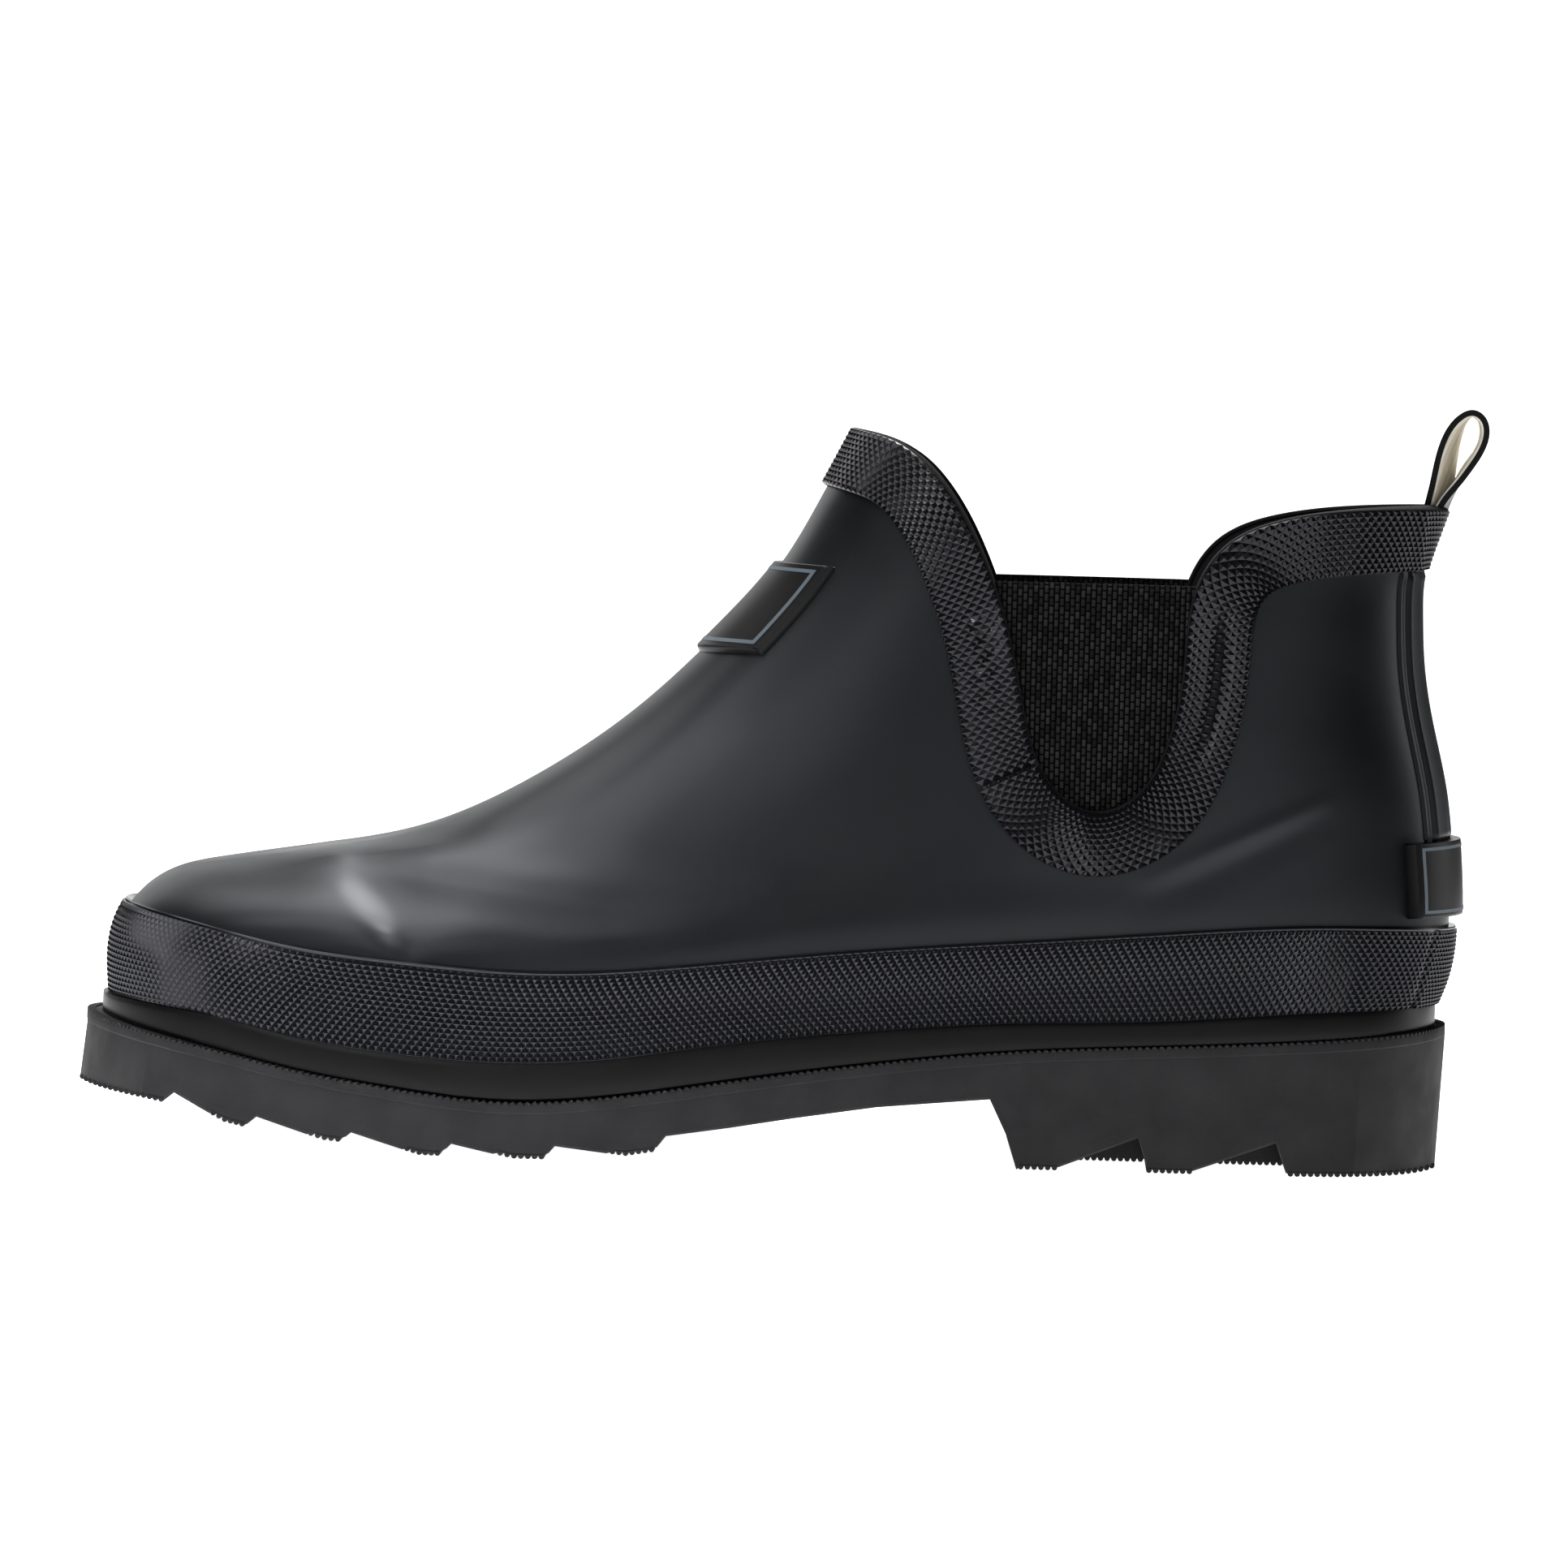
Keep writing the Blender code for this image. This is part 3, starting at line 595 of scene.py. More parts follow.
def knurl_tree():
    """Raises each face of a net of diamonds to a blunt pyramid."""
    tree, sizes = new_tree("knurl", (
        ("Height", "NodeSocketFloat"), ("Tip share", "NodeSocketFloat"), ("Rubber", "NodeSocketMaterial")))
    raised = add(tree, "GeometryNodeExtrudeMesh", {
        "Mesh": sizes.outputs["Geometry"], "Offset Scale": sizes.outputs["Height"], "Individual": True},
        mode="FACES")
    blunt = add(tree, "GeometryNodeScaleElements", {
        "Geometry": raised.outputs["Mesh"], "Selection": raised.outputs["Top"],
        "Scale": sizes.outputs["Tip share"]}, domain="FACE")
    flat = add(tree, "GeometryNodeSetShadeSmooth", {
        "Geometry": blunt.outputs["Geometry"], "Shade Smooth": False})
    return close_tree(tree, flat.outputs["Geometry"], sizes.outputs["Rubber"])


def repeat_tree():
    """Puts one small shape on each point, turned and sized by the point's own attributes."""
    tree, sizes = new_tree("repeat", (("Shape", "NodeSocketObject"), ("Finish", "NodeSocketMaterial")))
    shape = add(tree, "GeometryNodeObjectInfo", {"Object": sizes.outputs["Shape"]})
    turn = add(tree, "GeometryNodeInputNamedAttribute", {"Name": "turn"}, data_type="FLOAT_VECTOR")
    size = add(tree, "GeometryNodeInputNamedAttribute", {"Name": "size"}, data_type="FLOAT_VECTOR")
    spin = add(tree, "FunctionNodeEulerToRotation", {"Euler": turn.outputs["Attribute"]})
    placed = add(tree, "GeometryNodeInstanceOnPoints", {
        "Points": sizes.outputs["Geometry"], "Instance": shape.outputs["Geometry"],
        "Rotation": spin.outputs["Rotation"], "Scale": size.outputs["Attribute"]})
    return close_tree(tree, placed.outputs["Instances"], sizes.outputs["Finish"])


def grow(item, tree, **values):
    """Runs a tree on a piece and keeps the result as its plain mesh."""
    run = item.modifiers.new("grow", "NODES")
    run.node_group = tree
    for socket in tree.interface.items_tree:
        key = socket.name.lower().replace(" ", "_")
        if socket.in_out == "INPUT" and key in values:
            run[socket.identifier] = values[key]
    return bake(item)


def repeat(name, tree, places, turns, sizes, shape, finish):
    """Copies of a small shape, in millimetres, at the given places."""
    mesh = bpy.data.meshes.new(name)
    mesh.from_pydata(((places - MIDDLE) * MM).tolist(), [], [])
    for label, values in (("turn", turns), ("size", sizes * MM)):
        attribute = mesh.attributes.new(label, "FLOAT_VECTOR", "POINT")
        attribute.data.foreach_set("vector", np.asarray(values, np.float32).ravel())
    item = grow(show(name, mesh), tree, shape=shape, finish=finish)
    shade(item.data, COPY_SHARP_ANGLE)
    return item


# Materials

def srgb(code):
    """Linear colour of an sRGB hex value."""
    values = [int(code[i:i + 2], 16) / 255 for i in (1, 3, 5)]
    return tuple(v / 12.92 if v <= 0.04045 else ((v + 0.055) / 1.055) ** 2.4 for v in values) + (1.0,)


def per_mm(size):
    """Scale of a pattern whose features are this many millimetres apart."""
    return 1 / (size * MM)


def principled(name, sockets):
    """Material with constants on the shader's own sockets; gives its tree, shader and coordinates."""
    material = bpy.data.materials.new(name)
    material.use_nodes = True
    tree = material.node_tree
    shader = tree.nodes["Principled BSDF"]
    for label, value in sockets.items():
        shader.inputs[label].default_value = value
    place = add(tree, "ShaderNodeTexCoord").outputs["Object"]
    return material, tree, shader, place


def vary(tree, place, size, low, high, detail=3.0):
    """Value that drifts between two limits over the surface, as handling and moulding leave it."""
    cloud = add(tree, "ShaderNodeTexNoise", {"Vector": place, "Scale": per_mm(size), "Detail": detail})
    return add(tree, "ShaderNodeMapRange", {
        "Value": cloud.outputs["Fac"], "From Min": 0.3, "From Max": 0.7, "To Min": low, "To Max": high}
    ).outputs["Result"]


def grain(tree, shader, place, size, depth, detail=2.0):
    """Fine bump of the given size and depth in millimetres."""
    cloud = add(tree, "ShaderNodeTexNoise", {"Vector": place, "Scale": per_mm(size), "Detail": detail})
    bump = add(tree, "ShaderNodeBump", {
        "Height": cloud.outputs["Fac"], "Distance": depth * MM, "Strength": 1.0})
    tree.links.new(bump.outputs["Normal"], shader.inputs["Normal"])


def plain_finish(name, sockets, rough=None, grit=None):
    """Material of one colour, with a drifting roughness and a fine grain where they are given."""
    material, tree, shader, place = principled(name, sockets)
    if rough:
        tree.links.new(vary(tree, place, *rough), shader.inputs["Roughness"])
    if grit:
        grain(tree, shader, place, *grit)
    return material


def satin_rubber():
    # Dipped natural rubber, vulcanised and lacquered: near black with a wide soft sheen and faint clouds
    return plain_finish("satin black natural rubber", {
        "Base Color": srgb("#0b0d0f"), "IOR": 1.4, "Specular Tint": srgb("#e6eef8"),
        "Coat Weight": 0.15, "Coat Roughness": 0.25}, rough=(16.0, 0.36, 0.44), grit=(0.5, 0.012))


def band_rubber():
    # Calendered rubber sheet rolled with a knurl: black, satin, bright only on its tips and edges
    return plain_finish("knurled black rubber sheet", {
        "Base Color": srgb("#111215"), "IOR": 1.48, "Specular Tint": srgb("#eeeef8"),
        "Coat Weight": 0.1, "Coat Roughness": 0.12}, rough=(9.0, 0.2, 0.27))


def tape_rubber():
    # Thinner rubber tape with the same knurl: blacker and a little duller than the foxing
    return plain_finish("knurled black rubber tape", {
        "Base Color": srgb("#0b0b0e"), "IOR": 1.4, "Specular Tint": srgb("#eeeef8"),
        "Coat Weight": 0.1, "Coat Roughness": 0.12}, rough=(9.0, 0.2, 0.27))


def cut_rubber():
    # Trimmed edge of the rubber sheet: black and matt, without the roller's shine
    return plain_finish("matt cut rubber edge", {
        "Base Color": srgb("#0c0c0d"), "Roughness": 0.75, "IOR": 1.3}, grit=(0.6, 0.02))


def smooth_rubber():
    # Extruded rubber strip: black and smooth, with a low even shine
    return plain_finish("smooth black rubber strip", {
        "Base Color": srgb("#08080a"), "IOR": 1.3, "Coat Weight": 0.05, "Coat Roughness": 0.25},
        rough=(12.0, 0.36, 0.44), grit=(0.7, 0.008))


def sole_rubber():
    # Moulded sole compound: charcoal, matt and finely pitted from the mould, with dusty patches
    material, tree, shader, place = principled("matt charcoal sole rubber", {"IOR": 1.33})
    dust = vary(tree, place, 11.0, 0.0, 1.0, 5.0)
    colour = add(tree, "ShaderNodeMix", {
        "Factor": dust, "A": srgb("#212123"), "B": srgb("#29292b")}, data_type="RGBA")
    tree.links.new(colour.outputs["Result"], shader.inputs["Base Color"])
    tree.links.new(vary(tree, place, 7.0, 0.62, 0.76), shader.inputs["Roughness"])
    grain(tree, shader, place, 0.55, 0.05, 3.0)
    return material


def woven_elastic():
    # Covered rubber threads woven into ribs: black, with a painted highlight on staggered dashes where the
    # threads crown and painted shade in the near-black gaps between them
    material, tree, shader, place = principled("black woven elastic", {
        "Roughness": 0.85, "Specular IOR Level": 0.05})
    apart = add(tree, "ShaderNodeSeparateXYZ", {"Vector": place})
    turned = add(tree, "ShaderNodeCombineXYZ", {"X": apart.outputs["Z"], "Y": apart.outputs["X"]})
    half_step = (0.5 * DASH_PITCH * MM, (MIDDLE[0] + 0.5 * RIB_PITCH) * MM, 0.0)
    laid = add(tree, "ShaderNodeVectorMath", {0: turned.outputs["Vector"], 1: half_step}, operation="ADD")
    # Painted light: lighter bricks sit on the crowns of the ribs and dashes as a painted highlight, and the
    # near-black mortar lies in the valleys between them as painted shade
    weave = add(tree, "ShaderNodeTexBrick", {
        "Vector": laid.outputs["Vector"], "Color1": srgb("#181818"), "Color2": srgb("#303030"),
        "Mortar": srgb("#020202"), "Scale": 1.0, "Mortar Size": 0.24 * MM, "Mortar Smooth": 0.6,
        "Brick Width": DASH_PITCH * MM, "Row Height": RIB_PITCH * MM})
    tree.links.new(weave.outputs["Color"], shader.inputs["Base Color"])
    grain(tree, shader, place, 0.3, 0.05)
    return material


def knit_lining():
    # Cotton jersey bonded to the inside: charcoal, matt and slightly fuzzy
    return plain_finish("charcoal cotton lining", {
        "Base Color": srgb("#222224"), "Roughness": 0.95, "Sheen Weight": 0.2}, grit=(0.8, 0.12))


def cream_cotton():
    # Unbleached cotton twill on the back of the strap: cream, matt, with a soft diagonal weave
    material, tree, shader, place = principled("cream cotton twill", {
        "Roughness": 0.9, "Sheen Weight": 0.15})
    turned = add(tree, "ShaderNodeMapping", {"Vector": place, "Rotation": (0.7, 0.4, 0.0)})
    # Bands 2 pi times 0.6 mm apart: coarser than a real twill, which is too fine to show
    twill = add(tree, "ShaderNodeTexWave", {
        "Vector": turned.outputs["Vector"], "Scale": per_mm(0.6) / 20, "Distortion": 0.6},
        bands_direction="Y")
    colour = add(tree, "ShaderNodeMix", {
        "Factor": twill.outputs["Fac"], "A": srgb("#f1ead9"), "B": srgb("#fffaf0")}, data_type="RGBA")
    tree.links.new(colour.outputs["Result"], shader.inputs["Base Color"])
    bump = add(tree, "ShaderNodeBump", {"Height": twill.outputs["Fac"], "Distance": 0.08 * MM})
    tree.links.new(bump.outputs["Normal"], shader.inputs["Normal"])
    return material


def grey_ink():
    # Rubber ink printed on the plates: slate grey, matt
    return plain_finish("slate grey rubber ink", {
        "Base Color": srgb("#56616a"), "IOR": 1.5}, rough=(3.0, 0.5, 0.65))


def felt_footbed():
    # Pressed felt over foam: dark grey, very matt, with a short uneven nap
    return plain_finish("dark felt footbed", {
        "Base Color": srgb("#3a3a3c"), "Roughness": 0.97, "Sheen Weight": 0.3}, grit=(0.9, 0.2, 4.0))


# Pieces

def beside(points, fold):
    """Offsets from the start of a fold in the side view, its line, and how much of it that side shows."""
    start = np.array([fold.x0, fold.z0])
    shown = np.clip((points[..., 1] * fold.side - FOLD_START_Y) / FOLD_RISE_Y, 0, 1)
    return points[..., (0, 2)] - start, np.array([fold.x1, fold.z1]) - start, shown


def crease_lift(points):
    """Height of the soft folds at points of the upper."""
    lift = np.zeros(points.shape[:-1])
    for fold in CREASES:
        flat, along, shown = beside(points, fold)
        share = np.clip(dot(flat, along) / dot(along, along), 0, 1)
        distance = np.linalg.norm(flat - share[..., None] * along, axis=-1)
        fade = np.sin(math.pi * (0.12 + 0.76 * share))
        lift += fold.height * swell(distance, fold.width) * fade * shown
    return lift


def step_lift(points):
    """Height of the folds where the toe cap steps down to the vamp."""
    lift = np.zeros(points.shape[:-1])
    for fold in STEPS:
        flat, along, shown = beside(points, fold)
        length = np.linalg.norm(along)
        share = dot(flat, along) / length ** 2
        across = (flat[..., 1] * along[0] - flat[..., 0] * along[1]) / length
        width = fold.wide + (fold.narrow - fold.wide) * np.clip(share, 0, 1)
        fade = swell(share - 0.45, 0.52, 4) * swell(across, fold.reach)
        lift -= fold.height * np.tanh(across / width) * fade * shown
    return lift


def column_angles(count):
    """Angles round the last, closer together where the folds of the toe lie."""
    even = np.linspace(-math.pi, math.pi, 4001)
    density = 1.0 + 2.0 * swell(np.abs(even) - STEP_ANGLE, 0.25)
    total = np.concatenate([[0], np.cumsum((density[1:] + density[:-1]) / 2)])
    return np.interp(np.arange(count) / count * total[-1], total, even)


def vamp_fill(points, level):
    """Lift that rounds off the hollow above the shoulder of the vamp."""
    x = points[..., 0]
    spread = np.where(level < VAMP_LEVEL, 0.055, 0.11)
    off_ridge = np.clip((np.abs(points[..., 1] - centre_line(x)) - 6.0) / 16.0, 0, 1)
    return np.interp(x, VAMP_X, VAMP_LIFT) * swell(level - VAMP_LEVEL, spread) * off_ridge


def make_upper(rubber, lining):
    """Smooth hollow shell with its folds, cut along the collar edge."""
    columns, rows, inner_rows = 440, 140, 50
    theta = column_angles(columns)[:, None]
    level = np.linspace(0, 1, rows)[None, :]
    plain = skin_point(*np.broadcast_arrays(theta, level))
    outside = skin(theta, level, crease_lift(plain) + step_lift(plain) + vamp_fill(plain, level))
    inside = skin(theta, np.linspace(1, 0, inner_rows)[None, :], -WALL)
    sections = np.concatenate([outside, inside], axis=1)
    within = np.arange(rows + inner_rows)
    indices = np.tile(((within >= rows) & (within < rows + inner_rows - 1)).astype(int), columns)
    shell = loft("upper_shell", sections, [rubber, lining], closed=True, indices=indices)

    edge = collar_edge(np.linspace(0, 1, 300))
    front, back, above, beyond = edge[0, 0] - 30, edge[-1, 0] + 30, 190, 60
    outline = np.concatenate([
        [(front, above), (front, edge[0, 1])], edge, [(back, edge[-1, 1]), (back, above)]])
    cutter = loft("cutter", [np.insert(outline, 1, y, axis=1) for y in (-beyond, beyond)], [rubber])
    cut = shell.modifiers.new("collar cut", "BOOLEAN")
    cut.operation = "DIFFERENCE"
    cut.solver = "EXACT"
    cut.object = cutter
    shade(bake(shell).data)
    bpy.data.objects.remove(cutter)
    return dress(shell, "upper_rubber", "upper")


def diamond_faces(stations, rows, wrap):
    """Diamonds round every second point of a grid, cut to triangles along its edges."""
    faces = []
    for m in range(stations):
        for k in range(rows):
            if (m + k) % 2:
                continue
            corners = ((m - 1, k), (m, k - 1), (m + 1, k), (m, k + 1))
            if wrap:
                corners = [(i % stations, j) for i, j in corners]
            found = [i * rows + j for i, j in corners if 0 <= i < stations and 0 <= j < rows]
            if len(found) > 2:
                faces.append(found)
    return faces


def knurled(name, points, wrap, outward, tree, rubber):
    """Knurled sheet over a grid of points, with its pyramids on the outer side."""
    faces = diamond_faces(points.shape[0], points.shape[1], wrap)
    sample = faces[len(faces) // 2]
    first = points.reshape(-1, 3)[sample]
    facing = np.cross(first[1] - first[0], first[2] - first[0])
    if np.dot(facing, outward.reshape(-1, 3)[sample[0]]) < 0:
        faces = [face[::-1] for face in faces]
    sheet = piece(name, points, faces, [rubber], smooth=False, recalculate=False)
    return grow(sheet, tree, height=KNURL_HEIGHT * MM, tip_share=KNURL_TIP, rubber=rubber)


def seam_dent(x, z):
    """Step where the two ends of the foxing lap at the heel, on a line that leans back as it rises."""
    off = x - FOXING_LAP_X + (48.0 - z) * 0.28
    return 0.3 * swell(off - 0.9, 0.7) - 0.35 * swell(off, 0.6)


def make_foxing(rubber, tree):
    """Knurled band round the foot, on a plain body with a crisp top edge."""
    dense = np.linspace(-math.pi, math.pi, 2400)
    length = lengths(skin_point(dense, level_at(dense, foxing_top) * 0.5))
    stations = 2 * round(length[-1] / KNURL_ALONG)
    theta = np.interp(np.linspace(0, length[-1], stations, endpoint=False), length, dense)
    top = level_at(theta, foxing_top)
    share = np.linspace(0.025, 0.965, KNURL_ROWS)
    base = FOXING_BOTTOM_LIFT + (FOXING_TOP_LIFT - FOXING_BOTTOM_LIFT) * share - KNURL_HEIGHT
    level = top[:, None] * share[None, :]
    angle = np.broadcast_to(theta[:, None], level.shape)
    flat = skin_point(angle, level)
    lap = np.where(flat[..., 1] < 0, seam_dent(flat[..., 0], flat[..., 2]), 0.0)
    points = skin(angle, level, base[None, :] + lap)
    sheet = knurled("foxing_band", points, True, normal_at(angle, level), tree, rubber)

    profile = ((0.0, 0.1), (0.0, 1.3), (0.02, 1.65), (0.25, 1.6), (0.5, 1.5), (0.75, 1.4), (0.965, 1.35),
               (0.985, 1.5), (1.0, 1.4), (1.0, 0.0), (0.75, 0.05), (0.5, 0.05), (0.25, 0.05))
    sections = np.stack([skin(theta, top * s, lift) for s, lift in profile], axis=1)
    sections[..., 2] = np.maximum(sections[..., 2], feather(sections[..., 0]) + 0.02)
    body = loft("foxing_body", sections[::2], [rubber], closed=True)
    return dress(join(sheet, body), "band_rubber", "foxing")


def tape_folds(rows, at):
    """Folds of the tape: a long groove behind the U, ripples before it and a lap at the heel."""
    spots = np.stack([skin_point(t, v) for t, v in rows], axis=1)
    x, z = spots[..., 0], spots[..., 2]
    across = np.linspace(0, TAPE_WIDTH, len(rows))[None, :]

    def shape(fold):
        return fold.lift * swell(across - fold.across, fold.width) * swell(z - fold.z, fold.reach, 4)

    groove = shape(TAPE_GROOVE) * (x > GUSSET_MIDDLE)
    wave = np.sin(2 * math.pi * (at[:, None] / RIPPLE_PITCH + across / RIPPLE_SLANT))
    ripples = shape(TAPE_RIPPLES) * wave * (x < GUSSET_MIDDLE)
    lap = 0.45 * swell(x - HEEL_LAP_X - 0.06 * (z - 128.0), 1.0) * (spots[..., 1] < 0)
    return groove + ripples + lap


def make_tape(name, node, start, end, path, rubber, trimmed, tree):
    """Knurled tape along the collar edge, rolled over the rim."""
    theta, level, _, length, direction = path
    whole = length[-1]
    theta = np.concatenate([theta[:-1] - 2 * math.pi, theta])
    level = np.concatenate([level[:-1], level])
    length = np.concatenate([length[:-1] - whole, length])
    direction = np.concatenate([direction[:-1], direction])
    across = np.cross(normal_at(theta, level), direction)
    line = skin_point(*walk(theta, level, across, TAPE_LENGTH_LINE, 4)[-1])
    line_length = lengths(line)
    first, last = np.interp([start, end], length, line_length)
    stations = 2 * round((last - first) / TAPE_KNURL_ALONG) + 1
    at = np.interp(np.linspace(first, last, stations), line_length, length)
    along = unit(between(at, length, direction))
    theta, level = np.interp(at, length, theta), np.interp(at, length, level)
    normal = normal_at(theta, level)
    across = np.cross(normal, along)

    margin = 0.05
    edge_row = walk(theta, level, across, margin, 1)[-1]
    rows = walk(*edge_row, across, TAPE_WIDTH - 2 * margin, TAPE_CELLS)
    folds = tape_folds(rows, at)
    base = TAPE_LIFT - KNURL_HEIGHT
    points = np.stack([skin(t, v, base + folds[:, i]) for i, (t, v) in enumerate(rows)], axis=1)
    outward = np.stack([normal_at(t, v) for t, v in rows], axis=1)
    sheet = knurled(name, points, False, outward, tree, rubber)

    brim = skin_point(theta, level)
    roll = ((0.05, base - 0.03), (-0.12, base - 0.12), (-0.24, base - 0.45), (-0.26, -0.2),
            (-0.18, -1.0), (-0.14, -1.9), (0.0, -2.25), (0.5, -2.35), (0.7, -2.2), (0.5, -2.02),
            (-0.05, -2.02), (-0.05, 0.04))
    ring = [brim + a * across + lift * normal for a, lift in roll]
    under = [(rows[i], folds[:, i]) for i in range(1, TAPE_CELLS, 2)]
    hem = walk(*rows[-1], across, margin, 1)[-1]
    ring += [skin(t, v, 0.04) for (t, v), _ in under] + [skin(*hem, 0.03), skin(*hem, base - 0.35)]
    ring += [skin(*rows[-1], base - 0.02)]
    ring += [skin(t, v, np.maximum(base - 0.05 + fold, 0.1)) for (t, v), fold in under[::-1]]
    body = loft(name + "_body", np.stack(ring, axis=1), [trimmed])
    return dress(join(sheet, body), "band_rubber", node)


def make_tapes(rubber, trimmed, tree):
    """Front and back tapes, end to end at a seam on the front edge of each U."""
    path = collar_path()
    length = path[3]
    seam = length[np.argmax(path[2] > TAPE_SEAM_X)]
    make_tape("front_tape", "front_binding", -seam, seam, path, rubber, trimmed, tree)
    make_tape("back_tape", "back_binding", seam - length[-1], -seam, path, rubber, trimmed, tree)


def make_gusset(name, node, side, elastic):
    """Ribbed elastic panel with a rolled top hem."""
    points = collar_edge(np.linspace(0, 1, 900))
    front_of_u, back_of_u = COLLAR[3].x, COLLAR[12].x
    window = points[(points[:, 0] > front_of_u) & (points[:, 0] < back_of_u)]
    lowest = np.argmin(window[:, 1])
    front, back = window[:lowest + 1][::-1], window[lowest:]
    bottom = window[lowest, 1] + 0.1
    across_points, up_points, tuck = RIBS * 5, 124, 0.3
    heights = bottom + (GUSSET_TOP - bottom) * np.linspace(0, 1, up_points) ** 1.15
    left = np.interp(heights, front[:, 1], front[:, 0]) - tuck
    right = np.interp(heights, back[:, 1], back[:, 0]) + tuck
    share = np.linspace(0, 1, across_points)[None, :]
    x = left[:, None] * (1 - share) + right[:, None] * share
    z = np.broadcast_to(heights[:, None], x.shape)
    theta, level = locate(x, z)
    phase = x / RIB_PITCH
    rib = np.cos(2 * math.pi * phase)
    dash = np.cos(2 * math.pi * (z / DASH_PITCH + 0.5 * np.round(phase)))
    weave = RIB_HEIGHT * rib + DASH_HEIGHT * dash * (0.5 + 0.5 * rib)
    hem = np.clip((z - (GUSSET_TOP - GUSSET_HEM)) / 0.25, 0, 1)
    off_roll = (z - GUSSET_TOP + GUSSET_HEM / 2) / (GUSSET_HEM / 2)
    roll = HEM_ROLL * np.sqrt(np.clip(1 - off_roll ** 2, 0, 1))
    lift = weave * (1 - hem) + hem * roll
    face = skin(side * theta, level, lift - GUSSET_RECESS)
    inner = skin(side * theta, level, -GUSSET_RECESS - GUSSET_THICKNESS)
    panel = loft(name, np.concatenate([face, inner[:, ::-4]], axis=1), [elastic])
    return dress(panel, "elastic", node)


def plate_point(u, v, plate, lift):
    """Point over a plate's place on the upper, from shares across (-1 to 1) and up (0 to 1)."""
    level = plate.low + (plate.high - plate.low) * np.asarray(v, float)
    edge = angle_at(plate.half_width, level.ravel(), plate.middle, math.pi / 2).reshape(level.shape)
    return skin(plate.middle + (edge - plate.middle) * u, level, lift)


def make_plate(name, node, plate, relief, finish, columns=121, rows=61):
    """Thin plate over the ridge or the heel line, with its own relief."""
    u, v = np.meshgrid(np.linspace(-1, 1, columns), np.linspace(0, 1, rows))
    above = plate_point(u, v, plate, relief(u, v))
    below = plate_point(u, v, plate, np.full(u.shape, 0.02))
    body = loft(name, np.concatenate([above, below[:, ::-1]], axis=1), [finish])
    return dress(body, "smooth_rubber", node)


def make_border(name, plate, lift, border, ink):
    """Plain printed line just inside the edge of a plate."""
    count = 40
    side = np.linspace(-1, 1, count, endpoint=False)
    one = np.ones(count)
    ring_u = np.concatenate([side, one, -side, -one])
    ring_v = np.concatenate([-one, side, one, -side])
    loops = []
    for shrink, height in ((0, 0.0), (0, INK_HEIGHT), (1, INK_HEIGHT), (1, 0.0)):
        u = ring_u * (1 - border.inset_u - shrink * border.line_u)
        v = 0.5 + 0.5 * ring_v * (1 - border.inset_v - shrink * border.line_v)
        loops.append(plate_point(u, v, plate, lift + height))
    return dress(loft(name, np.stack(loops, axis=1), [ink], closed=True), "smooth_rubber")


def plan_width(x, plan):
    """Half width of a sole piece at a place along its plan."""
    share = np.clip((x - plan.toe) / (plan.heel - plan.toe), 0, 1)
    margin = (1 - share) * plan.toe_margin + share * plan.heel_margin
    opening = np.tanh(TOE_ROUND * share) * np.tanh(HEEL_ROUND * (1 - share))
    return (sole_half(x) + margin) * np.sqrt(opening)


def plan_stations(count, end=0.012):
    """Shares along a plan, closer together at the toe and heel."""
    return share_of(np.linspace(end, math.pi - end, count))


def slab(plan, low, high, bulge, rows):
    """Sections of a slab between two heights that follow the foot, with a rounded side."""
    x = plan.toe + plan_stations(220) * (plan.heel - plan.toe)
    middle, width = centre_line(x), plan_width(x, plan)
    low, high = low(x), high(x)
    half = []
    for rise in np.linspace(0, 1, rows):
        swollen = width + bulge * math.sqrt(max(0.0, 1 - (2 * math.sqrt(rise) - 1) ** 2))
        half.append((swollen, low + (high - low) * rise))
    ring = [xyz(x, middle - w, z) for w, z in half] + [xyz(x, middle + w, z) for w, z in half[::-1]]
    return np.stack(ring, axis=1)


def make_midsole(rubber):
    """Smooth slab with a rounded side between the outsole and the foxing."""
    gap = 0.05
    sections = slab(MIDSOLE_PLAN, lambda x: ledge(x) + gap, lambda x: feather(x) - gap, MIDSOLE_BULGE, 11)
    return dress(loft("midsole_band", sections, [rubber]), "smooth_rubber", "midsole")


def make_insole(felt):
    """Footbed inside the shell."""
    plan = Plan(LAST_PLAN.toe + INSOLE_CLEARANCE, LAST_PLAN.heel - INSOLE_CLEARANCE,
                -INSOLE_CLEARANCE, -INSOLE_CLEARANCE)
    sections = slab(plan, feather, lambda x: feather(x) + INSOLE_THICKNESS, 0.6, 7)
    return dress(loft("footbed", sections, [felt]), "footbed", "insole")


def tread_profile():
    """Corners of the tread along the edge of the sole, and along the middle of it."""
    edge = []
    for tooth in TEETH:
        edge += [(tooth.root_x, tooth.root_z), (tooth.land_x, tooth.land_z), (tooth.end_x, tooth.end_z)]
    edge += list(WAIST) + list(BREAST)
    middle = edge + [(TREAD_PLAN.heel, 0.0)]
    for notch in NOTCHES:
        edge += [(notch.start, 0.0), (notch.top, notch.height), (notch.foot, 0.0)]
    edge.append((TREAD_PLAN.heel, 0.0))
    return np.array(edge), np.array(middle)


def bar_shape(rubber):
    """Half-round bar one unit long, wide and high, with a short root."""
    turn = np.linspace(0, math.pi, 7)
    profile = [(0.5 * math.cos(a), -math.sin(a)) for a in turn] + [(-0.5, 0.4), (0.5, 0.4)]
    ends = [[(x, y, z) for x, z in profile] for y in (-0.5, 0.5)]
    return loft("bar", np.array(ends) / MM + MIDDLE, [rubber])


